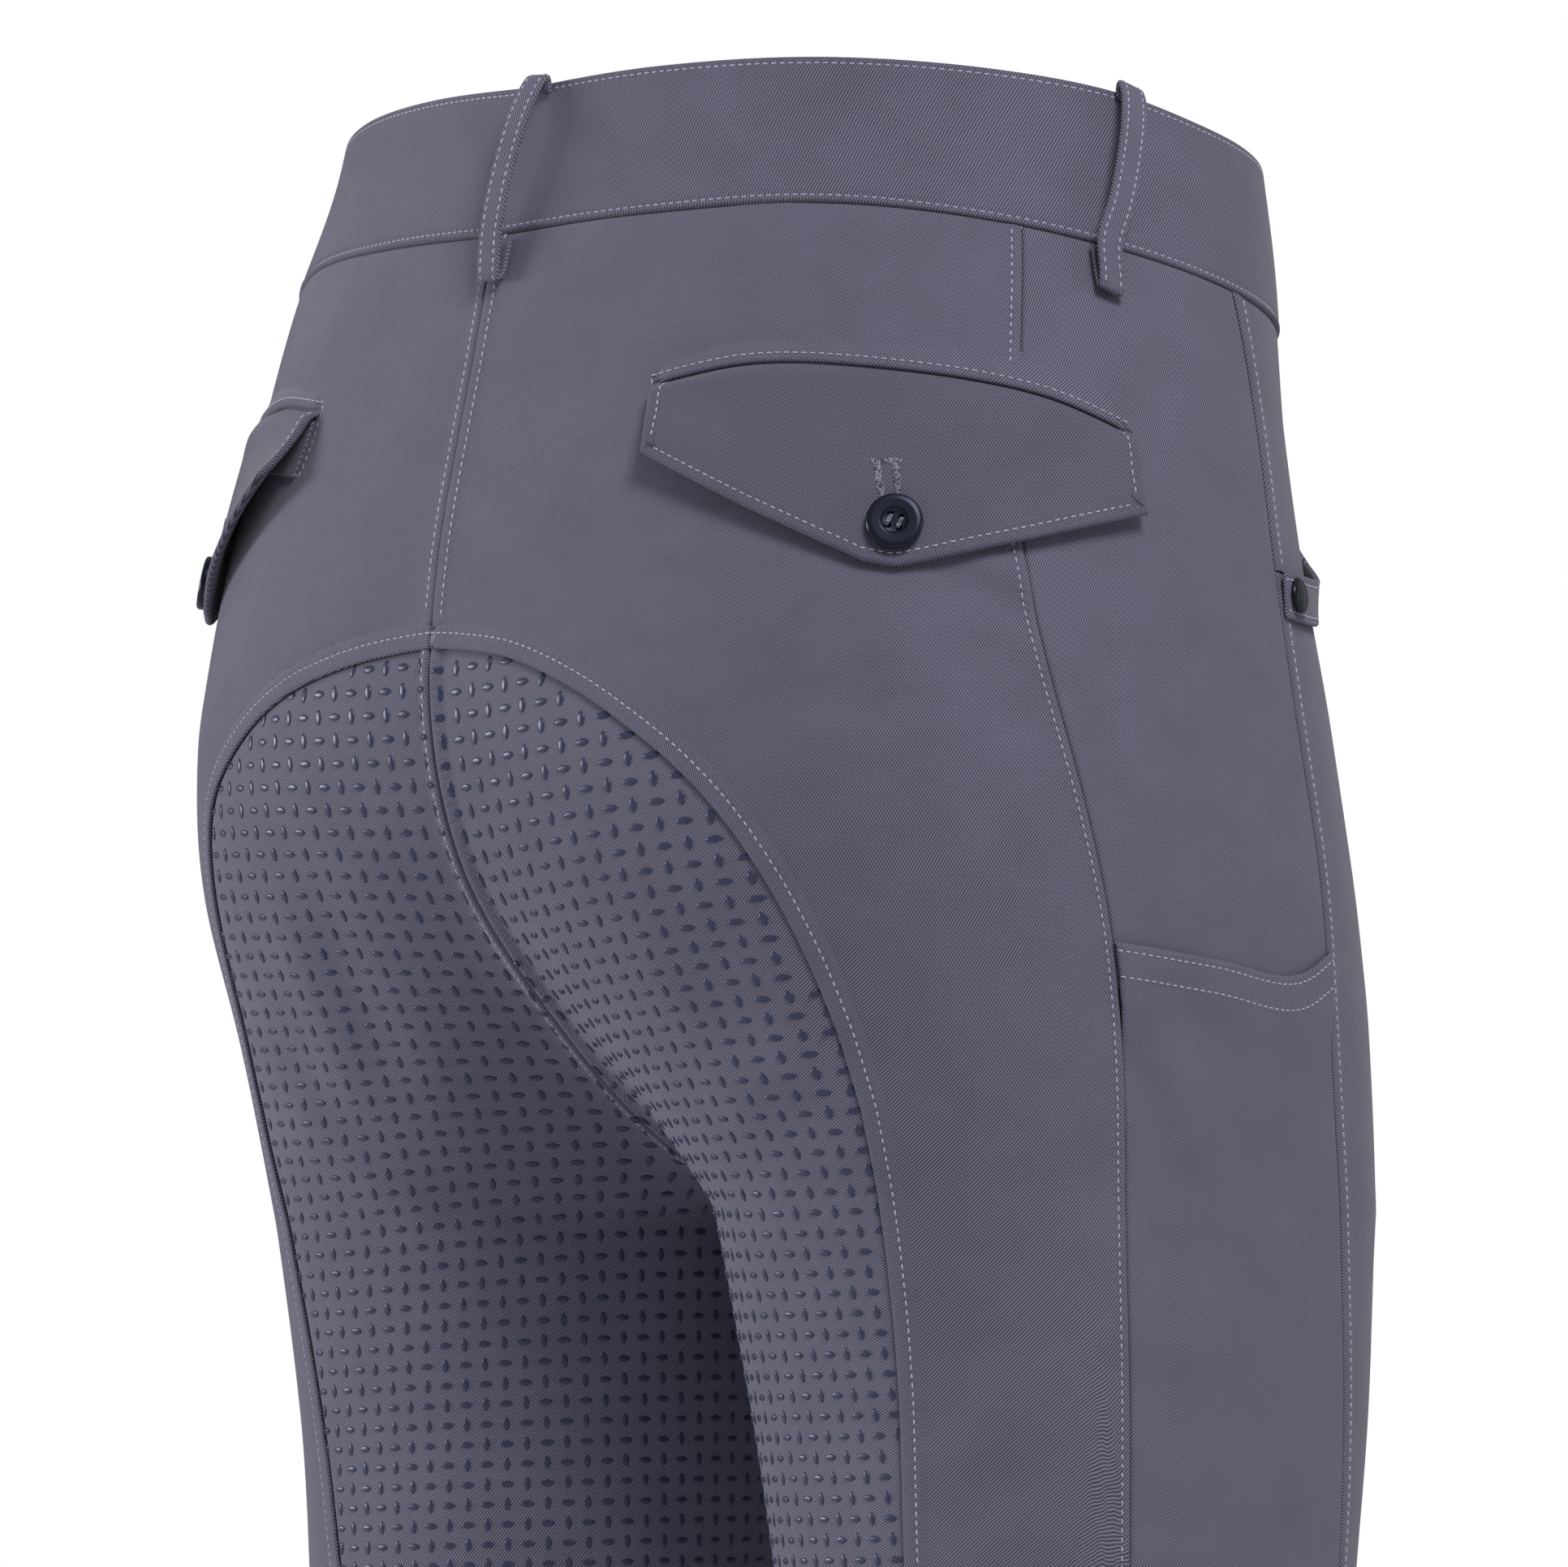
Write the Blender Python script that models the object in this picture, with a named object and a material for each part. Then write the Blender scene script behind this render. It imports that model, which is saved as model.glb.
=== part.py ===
"""Riding breeches, worn form: a hollow garment standing on no wearer.

The script works in millimetres and hands metres to Blender. +Z is up, the front faces -Y and the
wearer's right is -X. The origin is the middle of the waist, level with the band's top edge at the
sides. A bearing goes round the body, or round the leg lower down: 0 front, 90 outer side, 180 back,
270 inner side. The right half is worked out and the left half mirrors it, apart from the flapped
pocket's place and the outer seam of the seat patch.
"""
import math

import bmesh
import bpy
import numpy as np
from mathutils import Matrix, Vector

MM = 0.001

# ---- driving sizes, mm -------------------------------------------------------------------------
CLOTH = 1.2                 # one layer of stretch twill with its seam allowances
SEAM_GAP = 0.3              # between neighbouring panels
LAP_GAP = 0.4               # between two layers where one laps over the other
BAND_THICK = 2.6            # waistband, two layers and interfacing
BAND_PROUD = 0.6            # how far the band stands out over the panels
BAND_OVERLAP = 12.0         # degrees that each end of the band runs past the centre front
OVER_END = 40.0             # bearing where the upper end has come down to the form again
LYING_GAP = 0.45            # between a panel and a piece stitched flat on it
LOOP_WIDTH = 8.0
LOOP_THICK = 1.5
FLAP_THICK = 2.2            # pocket flap, two layers turned out
WELT_THICK = 0.9
WELT_HEIGHT = 18.0
POCKET_BAND_WIDTH = 13.0
POCKET_BAND_THICK = 1.4
LIP_GAPE = 2.4              # how far the front pocket's lip stands off in the middle
FLY_GAP = 1.5               # clears the front's facets, which bridge its hollow there
BUTTON_WIDTH = 15.0
THREAD_HOLE = 0.85          # radius of a button's thread hole
THREAD_HOLE_AT = 1.75       # from the button's middle, both ways
SNAP_WIDTH = 10.0
SNAP_BACK = 7.0             # from the side seam to the snap's middle
SNAP_DOWN = 6.8             # from the pocket's mouth to the snap's middle
HEM_HEIGHT = -935.0

# Hip form, a rounded ellipse at each height: (height, half width, half depth, centre towards back)
HIP = [(30, 138, 99, 0), (0, 142, 103, 3), (-40, 153, 108, 10), (-80, 160, 113, 15),
       (-120, 164, 121, 18), (-160, 166.5, 129, 18), (-200, 167.5, 131, 17), (-240, 166, 126, 13),
       (-290, 165, 119, 9)]
# Right leg form at each height: (height, centre outwards, centre towards back, half width, half depth)
LEG = [(-80, 78, 22, 85, 123), (-120, 77.5, 17, 86.5, 122), (-160, 78.75, 10, 87.75, 122),
       (-200, 80.25, 2, 86.75, 117), (-240, 82.5, -3, 81.5, 107), (-290, 86, -7, 76.5, 95.5),
       (-340, 89, -9, 74, 86.5), (-390, 92, -8, 71, 79), (-440, 95, -7, 67, 73),
       (-520, 98, -9, 61, 65), (-600, 100, -10, 56, 60), (-650, 101, -5, 54, 57),
       (-720, 103, 2, 52.5, 56), (-790, 105, 6, 47, 51), (-860, 107, 8, 41, 45.5),
       (-935, 109, 10, 37.5, 41.5)]
# How much of the form is legs and how much is hips: (height, share of the legs)
SHARE = [(-80, 0), (-120, 0.1), (-160, 0.22), (-200, 0.42), (-240, 0.7), (-290, 1.0)]
HIP_SQUARE = 2.12
LEG_SQUARE = 2.2
CROTCH_ROUND = 24.0         # radius that joins one leg's form to the other's

# Waistband: (bearing, height of its top edge, height of its seam)
BAND = [(0, -15, -61), (30, -13.5, -59.5), (60, -9, -55.5), (86, -2.5, -48.5), (100, 4, -42),
        (113, 8, -35.5), (130, 11.5, -29.5), (155, 12.5, -29), (180, 11, -30.5)]
# Seams down the right half: (height, bearing)
REAR_SIDE = [(-30, 112), (-78, 114), (-120, 116), (-190, 116), (-225, 117), (-276, 121),
             (-318, 122.5), (-386, 123.5), (-600, 122), (-720, 119), (-935, 116)]
FRONT_SIDE = [(-48, 86.5), (-79, 84), (-126, 80), (-154, 77), (-197, 71), (-229, 66.5), (-272, 62),
              (-350, 61), (-386, 60), (-600, 61), (-720, 63), (-935, 65)]
SEAT_ARCH = [(-143, 190), (-147.5, 179), (-157, 171.2), (-168.5, 166), (-179.5, 162.6),
             (-193, 160.4), (-209, 159.8), (-226, 160.4), (-245, 161.6), (-276, 163.2),
             (-307, 164), (-339, 165.3), (-386, 168), (-440, 170), (-600, 172), (-720, 170),
             (-935, 165)]
# The left seat patch reaches further out across the seat
SEAT_ARCH_LEFT = [(-143, 190), (-145, 181), (-147.8, 174.6), (-150.5, 170), (-154, 166),
                  (-158, 162.6), (-162.5, 159.7), (-168, 156.7), (-174, 154.2), (-181, 153),
                  (-190, 153.3), (-200, 154.4), (-212, 155.4), (-226, 156.2), (-245, 157.6),
                  (-276, 159.8), (-307, 161.5), (-339, 163.5), (-386, 167), (-440, 170),
                  (-600, 172), (-720, 170), (-935, 165)]
INNER_FRONT = [(-276, 304), (-300, 303), (-340, 304), (-440, 308), (-600, 312), (-720, 310),
               (-935, 304)]
# Front pocket's scooped mouth: (bearing, drop below the band's seam)
SCOOP = [(48, 3), (49.5, 28), (54, 50), (61, 63), (70, 69), (80.3, 72)]
# Phone pocket's mouth on the side panel: (share of the way forward, height)
PHONE_MOUTH = [(0, -225), (0.35, -228), (0.8, -230), (1, -223)]
TUCK = 12.0                 # how far the upper side panel runs on behind the mouth
LAP_PAST = 3.0              # and how far past its end the lower one comes down to the form
# Belt loop's run, from its end inside the band's top edge to its tucked-back end under the seam:
# (share of the way down the band, drop further on, how far out from the form)
LOOP_RUN = [(0, 3.0, 1.9), (0, 0.4, 2.2), (0, -1.2, 3.6), (0.06, 0, 5.8), (0.25, 0, 8.0),
            (0.5, 0, 8.5), (0.75, 0, 8.0), (1, 0, 6.4), (1, 9, 4.6), (1, 12.4, 3.6),
            (1, 12.6, 2.4), (1, 10, 1.6), (1, 2, 1.5)]
# Bearings of each loop at the band's top edge and at its seam, between which it leans
LOOP_BACK, LOOP_SIDE, LOOP_FRONT = (176.4, 178.0), (97.8, 104.3), (38.0, 38.0)
# Right flap's top edge, inner end to outer end: (share of its length, bearing, height)
FLAP_TOP = [(0, 151.8, -76.5), (0.25, 140, -72.5), (0.5, 128, -74.5), (0.8, 112, -82),
            (1, 103.2, -91)]
# Its lower edge, coming to a blunt point: (share of its length, bearing, height)
FLAP_LOW = [(0, 152.7, -98.5), (0.25, 142.5, -114), (0.44, 132.5, -128), (0.5, 129.6, -129.5),
            (0.56, 126.5, -128), (0.75, 116, -122), (1, 103, -113.5)]
# How much further off that edge stands, the button holding its point down: (share, distance)
FLAP_OFF = [(0, 8.9), (0.25, 4), (0.5, -0.6), (0.75, 2), (1, 3.5)]
BUTTON_ALONG, BUTTON_DOWN = 0.515, 0.80     # flap button's place, as shares of the flap
# The two pockets: (name's end, 1 or -1 for the mirrored side, turn in bearing, rise)
POCKETS = [("_right", 1, 0, 0), ("_left", -1, -1.4, 4.6)]
# Turned profiles: (share of the radius, height above the back face)
BUTTON_PROFILE = [(0, 0), (0.9, 0), (1, 0.5), (1, 1.6), (0.93, 2.4), (0.8, 2.5), (0.68, 1.9),
                  (0, 1.7)]
SNAP_PROFILE = [(0, 0), (0.95, 0), (1, 0.3), (0.97, 0.9), (0.8, 1.5), (0.5, 1.7), (0, 1.75)]

# Stations, the grid lines that neighbouring panels share
BACK_SEAM_STEPS = 8         # waist to the top of the seat patch
LEG_STEPS = 20              # seat patch's top, or the crotch, to the hem
SEAT_SIDE_STEPS = 8         # of those, along the patch's edge across the seat
SEAT_SIDE_END = -250.0      # height where that stretch ends
FRONT_SEAM_STEPS = 5        # waist to the front of the crotch
SCOOP_SIDE_STEPS = 3        # waist to the front pocket's mouth
PHONE_STEPS = 13            # waist to the phone pocket's mouth
BACK_COLUMNS, SIDE_COLUMNS, FRONT_COLUMNS, SCOOP_COLUMNS, SEAT_COLUMNS = 7, 5, 4, 5, 10
FLAP_COLUMNS, FLAP_ROWS = 12, 3
ROUND_STEPS = 24            # round a button or a snap
REACH = 260.0               # longer than any ray from a leg's or the body's middle to the form
MIDDLE = np.array([0.0, 10.0, -150.0])      # the centre-back and centre-front seams go round it


# ---- the form that the panels lie on -----------------------------------------------------------
def smooth(rows, column, at):
    """Value of a table's column at heights or bearings `at`, on a smooth curve through its rows."""
    table = np.array(rows, float)
    table = table[np.argsort(table[:, 0])]
    x, y = table[:, 0], table[:, column]
    slope = np.gradient(y, x)
    i = np.clip(np.searchsorted(x, at) - 1, 0, len(x) - 2)
    h = x[i + 1] - x[i]
    t = np.clip((at - x[i]) / h, 0, 1)
    return ((1 + 2 * t) * (1 - t) ** 2 * y[i] + t * (1 - t) ** 2 * h * slope[i]
            + t * t * (3 - 2 * t) * y[i + 1] + t * t * (t - 1) * h * slope[i + 1])


def ellipse(x, y, half_x, half_y, square):
    """About how far a level point is outside a rounded ellipse round 0, 0; negative inside."""
    size = (np.abs(x / half_x) ** square + np.abs(y / half_y) ** square) ** (1 / square)
    return (size - 1) * np.sqrt(half_x * half_y)


def figure(p):
    """About how far points lie outside the form: hips above, two legs below, mixed by SHARE."""
    x, y, z = p[..., 0], p[..., 1], p[..., 2]
    hips = ellipse(x, y - smooth(HIP, 3, z), smooth(HIP, 1, z), smooth(HIP, 2, z), HIP_SQUARE)
    out, back, half_x, half_y = (smooth(LEG, column, z) for column in (1, 2, 3, 4))
    right = ellipse(x + out, y - back, half_x, half_y, LEG_SQUARE)
    left = ellipse(x - out, y - back, half_x, half_y, LEG_SQUARE)
    near = np.maximum(CROTCH_ROUND - np.abs(right - left), 0) / CROTCH_ROUND
    legs = np.minimum(right, left) - near ** 2 * CROTCH_ROUND / 4
    share = np.clip(smooth(SHARE, 1, z), 0, 1)
    return (1 - share) * hips + share * legs


def slope(p):
    """Gradient of figure() at each point, from small steps along X, Y and Z."""
    step = 0.5
    parts = [(figure(p + step * axis) - figure(p - step * axis)) / (2 * step) for axis in np.eye(3)]
    return np.stack(parts, -1)


def unit(v):
    return v / np.linalg.norm(v, axis=-1, keepdims=True)


def outward(p):
    """Unit normal of the form at each point."""
    return unit(slope(p))


def lay(p):
    """Moves points along the slope until they lie on the form."""
    for _ in range(4):
        g = slope(p)
        p = p - figure(p)[..., None] * g / np.sum(g * g, -1, keepdims=True)
    return p


def leave(start, way, reach):
    """Point where a ray from inside leaves the form, by halving the stretch it must lie in."""
    halvings = 34
    low = np.zeros(np.shape(reach))
    high = np.array(reach, float)
    for _ in range(halvings):
        middle = (low + high) / 2
        inside = figure(start + middle[..., None] * way) < 0
        low = np.where(inside, middle, low)
        high = np.where(inside, high, middle)
    return start + low[..., None] * way


def axis_at(z):
    """Middle that bearings go round: the body's at the waist, the right leg's from the crotch down."""
    t = np.clip((-60 - z) / 220, 0, 1)
    t = t * t * (3 - 2 * t)
    return np.stack([-smooth(LEG, 1, z) * t, smooth(LEG, 2, z) * t, z], -1)


def on_form(bearing, z):
    """Point of the form at a bearing in degrees and a height; the right half where legs begin."""
    bearing, z = np.broadcast_arrays(np.asarray(bearing, float), np.asarray(z, float))
    angle = np.radians(bearing)
    way = np.stack([-np.sin(angle), -np.cos(angle), 0 * angle], -1)
    start = axis_at(z)
    tiny = 1e-6
    to_middle = np.where(way[..., 0] > tiny, -start[..., 0] / np.maximum(way[..., 0], tiny), REACH)
    reach = np.where(start[..., 0] < -tiny, np.minimum(to_middle, REACH), REACH)
    return leave(start, way, reach)


def bearing_of(p, low):
    """Bearing of points in degrees, counted from `low` up to a full turn above it."""
    start = axis_at(p[..., 2])
    angle = np.degrees(np.arctan2(start[..., 0] - p[..., 0], start[..., 1] - p[..., 1]))
    return (angle - low) % 360 + low


def centre_line(first, last, steps):
    """The form's outline in the plane X = 0, from one of its points to another, at equal turns."""
    def turn(p):
        return math.atan2(p[2] - MIDDLE[2], p[1] - MIDDLE[1])
    start, end = turn(first), turn(last)
    if end > start:
        end -= 2 * math.pi
    angle = np.linspace(start, end, steps + 1)
    way = np.stack([0 * angle, np.cos(angle), np.sin(angle)], -1)
    return leave(MIDDLE + 0 * way, way, np.full(steps + 1, REACH))


# ---- seams -------------------------------------------------------------------------------------
def band_point(bearing, column):
    """Point on the band's top edge (column 1) or seam (column 2) at bearings of the right half."""
    bearing = np.asarray(bearing, float)
    return on_form(bearing, smooth(BAND, column, np.abs(bearing)))


def down_seam(rows, heights):
    """Points of a seam table at the given heights."""
    return on_form(smooth(rows, 1, heights), heights)


def along(points, steps):
    """Points at equal lengths along a polyline."""
    length = np.concatenate([[0], np.cumsum(np.linalg.norm(np.diff(points, axis=0), axis=1))])
    at = np.linspace(0, length[-1], steps + 1)
    return np.stack([np.interp(at, length, points[:, i]) for i in range(3)], -1)


def meet_band(rows):
    """Height and bearing where a seam table meets the band's seam."""
    z = -45.0
    for _ in range(20):
        z = float(smooth(BAND, 2, smooth(rows, 1, z)))
    return z, float(smooth(rows, 1, z))


REAR_TOP, REAR_BEARING = meet_band(REAR_SIDE)
FRONT_TOP, FRONT_BEARING = meet_band(FRONT_SIDE)
SCOOP_START = SCOOP[0][0]


def scoop_height(bearing):
    return smooth(BAND, 2, bearing) - smooth(SCOOP, 1, bearing)


SCOOP_END = float(scoop_height(SCOOP[-1][0]))
ARCH_TOP = centre_line(band_point(180, 2), np.array([0, 20, -400.0]), 400)
ARCH_TOP = ARCH_TOP[np.argmin(np.abs(ARCH_TOP[:, 2] - SEAT_ARCH[0][0]))]
CROTCH_FRONT = leave(MIDDLE, unit(np.array([0, -0.46, -1])), REACH)

back_seam = centre_line(band_point(180, 2), ARCH_TOP, BACK_SEAM_STEPS)
crotch_seam = centre_line(ARCH_TOP, CROTCH_FRONT, SEAT_COLUMNS)
front_seam = centre_line(CROTCH_FRONT, band_point(0, 2), FRONT_SEAM_STEPS)[::-1]


def arch_seam(table):
    """Seat patch's outer seam: across the seat from the centre back, then down behind the leg."""
    rows = np.array(table, float)
    station = np.arange(len(rows))
    fine = np.linspace(0, len(rows) - 1, 400)
    height = smooth(np.stack([station, rows[:, 0]], 1), 1, fine)
    bearing = smooth(np.stack([station, rows[:, 1]], 1), 1, fine)
    points = on_form(bearing, height)
    points[0] = ARCH_TOP
    seat = np.searchsorted(-height, -SEAT_SIDE_END)
    upper = along(points[:seat + 1], SEAT_SIDE_STEPS)
    lower = along(points[seat:], LEG_STEPS - SEAT_SIDE_STEPS)
    return np.concatenate([upper, lower[1:]])


def leg_heights(first, steps, crowd):
    """Heights from `first` to the hem, closer together near the top where crowd is over 1."""
    t = np.linspace(0, 1, steps + 1) ** crowd
    return first + (HEM_HEIGHT - first) * t


seat_seams = [("_right", 1, lay(arch_seam(SEAT_ARCH))),
              ("_left", -1, lay(arch_seam(SEAT_ARCH_LEFT)))]
inner_seam = down_seam(INNER_FRONT, leg_heights(CROTCH_FRONT[2], LEG_STEPS, 1.35))
inner_seam[0] = CROTCH_FRONT
SIDE_STEPS = BACK_SEAM_STEPS + LEG_STEPS
side_tail = leg_heights(PHONE_MOUTH[0][1], SIDE_STEPS - PHONE_STEPS, 1.15)
rear_heights = np.concatenate([np.linspace(REAR_TOP, PHONE_MOUTH[0][1], PHONE_STEPS + 1),
                               side_tail[1:]])
rear_seam = down_seam(REAR_SIDE, rear_heights)
front_tail = leg_heights(PHONE_MOUTH[-1][1], SIDE_STEPS - PHONE_STEPS, 1.15)
front_heights = np.concatenate([
    np.linspace(FRONT_TOP, SCOOP_END, SCOOP_SIDE_STEPS + 1),
    np.linspace(SCOOP_END, PHONE_MOUTH[-1][1], PHONE_STEPS - SCOOP_SIDE_STEPS + 1)[1:],
    front_tail[1:]])
side_seam = down_seam(FRONT_SIDE, front_heights)


# ---- panels ------------------------------------------------------------------------------------
def net(top, bottom, left, right, low, rounds=6):
    """Grid of points on the form inside four edges.

    Bearings and heights are blended from the four edges (a Coons patch), the points are put on the
    form, and then each inner point goes half way to the middle of its four neighbours a few times.
    """
    u = np.linspace(0, 1, len(top))[None, :, None]
    v = np.linspace(0, 1, len(left))[:, None, None]

    def flat(p):
        return np.stack([bearing_of(p, low), p[..., 2]], -1)
    t, b, l, r = flat(top)[None], flat(bottom)[None], flat(left)[:, None], flat(right)[:, None]
    corners = ((1 - u) * (1 - v) * t[:, :1] + u * (1 - v) * t[:, -1:]
               + (1 - u) * v * b[:, :1] + u * v * b[:, -1:])
    blend = (1 - v) * t + v * b + (1 - u) * l + u * r - corners
    grid = on_form(blend[..., 0], blend[..., 1])
    grid[0], grid[-1], grid[:, 0], grid[:, -1] = top, bottom, left, right
    for _ in range(rounds):
        mean = (grid[:-2, 1:-1] + grid[2:, 1:-1] + grid[1:-1, :-2] + grid[1:-1, 2:]) / 4
        grid[1:-1, 1:-1] = lay((grid[1:-1, 1:-1] + mean) / 2)
    return grid


def rim(shape):
    """Row and column numbers round a grid's edge, in order."""
    rows, columns = shape
    path = [(0, j) for j in range(columns - 1)] + [(i, columns - 1) for i in range(rows - 1)]
    path += [(rows - 1, j) for j in range(columns - 1, 0, -1)]
    path += [(i, 0) for i in range(rows - 1, 0, -1)]
    return tuple(np.array(path).T)


def trim(grid, normals, amount=SEAM_GAP / 2):
    """Pulls a grid's edge in by half the seam gap, square to the edge and mitred at its corners."""
    edge = rim(grid.shape[:2])
    p, n = grid[edge], normals[edge]
    forward = unit(np.roll(p, -1, 0) - p)
    inward = np.cross(n, forward)
    centre = grid.reshape(-1, 3).mean(0)
    if np.sum(inward * (centre - p)) < 0:
        inward = -inward
    inward = unit(inward)
    before = np.roll(inward, 1, 0)
    both = np.sum(inward * before, -1, keepdims=True)
    moved = grid.copy()
    moved[edge] = p + amount * (inward + before) / np.maximum(1 + both, 0.5)
    return moved


def material(name, colour, roughness, metallic=0.0):
    found = bpy.data.materials.get(name)
    if found:
        return found
    made = bpy.data.materials.new(name)
    made.use_nodes = True
    shader = made.node_tree.nodes["Principled BSDF"]
    shader.inputs["Base Color"].default_value = (*colour, 1.0)
    shader.inputs["Roughness"].default_value = roughness
    shader.inputs["Metallic"].default_value = metallic
    return made


def twill():
    return material("twill", (0.115, 0.108, 0.160), 0.8)


def resin():
    return material("dark_resin", (0.012, 0.014, 0.022), 0.25)


def add_object(name, points, faces, finish):
    mesh = bpy.data.meshes.new(name)
    mesh.from_pydata((points * MM).tolist(), [], faces)
    mesh.materials.append(finish)
    body = bpy.data.objects.new(name, mesh)
    bpy.context.scene.collection.objects.link(body)
    return body


def wall(name, outer, inner):
    """Closed wall between two grids of the same shape: both sides and the rim round them. Each
    cell is cut along its shorter diagonal, the same one on both sides."""
    rows, columns = outer.shape[:2]
    number = np.arange(rows * columns).reshape(rows, columns)
    a, b, c, d = (number[:-1, :-1].ravel(), number[1:, :-1].ravel(), number[1:, 1:].ravel(),
                  number[:-1, 1:].ravel())
    p = outer.reshape(-1, 3)
    short = (np.sum((p[a] - p[c]) ** 2, -1) <= np.sum((p[b] - p[d]) ** 2, -1))[:, None]
    first = np.where(short, np.stack([a, b, c], -1), np.stack([a, b, d], -1))
    second = np.where(short, np.stack([a, c, d], -1), np.stack([b, c, d], -1))
    skin = np.concatenate([first, second])
    path = number[rim((rows, columns))]
    after = np.roll(path, -1)
    count = rows * columns
    sides = np.concatenate([np.stack([path, after, after + count], -1),
                            np.stack([path, after + count, path + count], -1)])
    faces = np.concatenate([skin, skin[:, ::-1] + count, sides])
    points = np.concatenate([p, inner.reshape(-1, 3)])
    edge_a, edge_b = p[number[1, 0]] - p[0], p[number[0, 1]] - p[0]
    if np.dot(np.cross(edge_a, edge_b), outer[0, 0] - inner[0, 0]) < 0:
        faces = faces[:, ::-1]
    add_object(name, points, faces.tolist(), twill())


def pair(name, outer, inner):
    """The right piece, and the left one as its mirror image."""
    flip = np.array([-1, 1, 1])
    wall(name + "_right", outer, inner)
    wall(name + "_left", outer * flip, inner * flip)


def cloth(name, grid, mirror=1, proud=0.0):
    """A panel of cloth, on the left side where `mirror` is -1; `proud` says how far its outer face
    stands off the form, by point."""
    normals = outward(grid)
    cut = trim(grid, normals)
    proud = np.broadcast_to(proud, grid.shape[:2])[..., None]
    flip = np.array([mirror, 1, 1])
    wall(name, (cut + normals * proud) * flip, (cut + normals * (proud - CLOTH)) * flip)


def cloth_pair(name, grid, proud=0.0):
    cloth(name + "_right", grid, 1, proud)
    cloth(name + "_left", grid, -1, proud)


def make_backs():
    """Back panels: waist seam on top, centre back and seat arch inside, rear side seam outside."""
    top = band_point(np.linspace(180, REAR_BEARING, BACK_COLUMNS + 1), 2)
    hem = on_form(np.linspace(SEAT_ARCH[-1][1], REAR_SIDE[-1][1], BACK_COLUMNS + 1), HEM_HEIGHT)
    for end, mirror, seam in seat_seams:
        left = np.concatenate([back_seam, seam[1:]])
        cloth("back" + end, net(top, hem, left, rear_seam, 0), mirror)


def make_seat_patches():
    """Seat patches: the top edge is the centre seam from the arch's top to the crotch's front."""
    hem = on_form(np.linspace(SEAT_ARCH[-1][1], INNER_FRONT[-1][1], SEAT_COLUMNS + 1), HEM_HEIGHT)
    for end, mirror, seam in seat_seams:
        cloth("seat_patch" + end, net(crotch_seam, hem, seam, inner_seam, 90, rounds=10), mirror)


def phone_line(drop=0.0, columns=SIDE_COLUMNS):
    """Points of the phone pocket's mouth, or of a line `drop` below it, across the side panel."""
    forward = np.linspace(0, 1, columns + 1)
    z = smooth(PHONE_MOUTH, 1, forward) - drop
    bearing = smooth(REAR_SIDE, 1, z) * (1 - forward) + smooth(FRONT_SIDE, 1, z) * forward
    return on_form(bearing, z)


def make_side():
    """Side panel: an upper piece tucked behind the hemmed mouth of the lower one."""
    top = band_point(np.linspace(REAR_BEARING, FRONT_BEARING, SIDE_COLUMNS + 1), 2)
    mouth = phone_line()
    upper = net(top, mouth, rear_seam[:PHONE_STEPS + 1], side_seam[:PHONE_STEPS + 1], 0)
    cloth_pair("side_upper", np.concatenate([upper, phone_line(TUCK)[None]]))
    hem = on_form(np.linspace(REAR_SIDE[-1][1], FRONT_SIDE[-1][1], SIDE_COLUMNS + 1), HEM_HEIGHT)
    lower = net(mouth, hem, rear_seam[PHONE_STEPS:], side_seam[PHONE_STEPS:], 0)
    lower = np.concatenate([mouth[None], phone_line(TUCK + LAP_PAST)[None], lower[1:]])
    proud = np.zeros(lower.shape[:2])
    proud[:2] = CLOTH + LAP_GAP
    cloth_pair("side_lower", lower, proud=proud)


def scoop_line():
    """Points of the front pocket's mouth, from its start by the band to the side seam."""
    bearing = np.linspace(SCOOP_START, SCOOP[-1][0], 60)
    points = on_form(bearing, scoop_height(bearing))
    points = lay(along(points, SCOOP_COLUMNS))
    points[-1] = side_seam[SCOOP_SIDE_STEPS]
    return points


def front_net():
    """Front panel's grid: band seam and scooped mouth on top, side seam down to the hem."""
    mouth = scoop_line()
    waist = band_point(np.linspace(0, SCOOP_START, FRONT_COLUMNS + 1), 2)
    top = np.concatenate([waist, mouth])
    left = np.concatenate([front_seam, inner_seam[1:]])
    right = side_seam[SCOOP_SIDE_STEPS:]
    hem = on_form(np.linspace(INNER_FRONT[-1][1] - 360, FRONT_SIDE[-1][1], len(top)), HEM_HEIGHT)
    return net(top, hem, left, right, -180)


def make_hip_underlay():
    """Hip piece that shows inside the front pocket's scoop."""
    mouth = scoop_line()
    hip_top = band_point(np.linspace(SCOOP_START, FRONT_BEARING, SCOOP_COLUMNS + 1), 2)
    start = np.linspace(hip_top[0], mouth[0], SCOOP_SIDE_STEPS + 1)
    hip = net(hip_top, mouth, start, side_seam[:SCOOP_SIDE_STEPS + 1], -180, rounds=2)
    cloth_pair("hip_underlay", hip)


def down_columns(grid, lengths):
    """Points on a panel's grid at the given lengths down each of its columns."""
    columns = []
    for j in range(grid.shape[1]):
        line = grid[:, j]
        run = np.concatenate([[0], np.cumsum(np.linalg.norm(np.diff(line, axis=0), axis=1))])
        columns.append(np.stack([np.interp(lengths, run, line[:, i]) for i in range(3)], -1))
    return np.stack(columns, 1)


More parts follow.
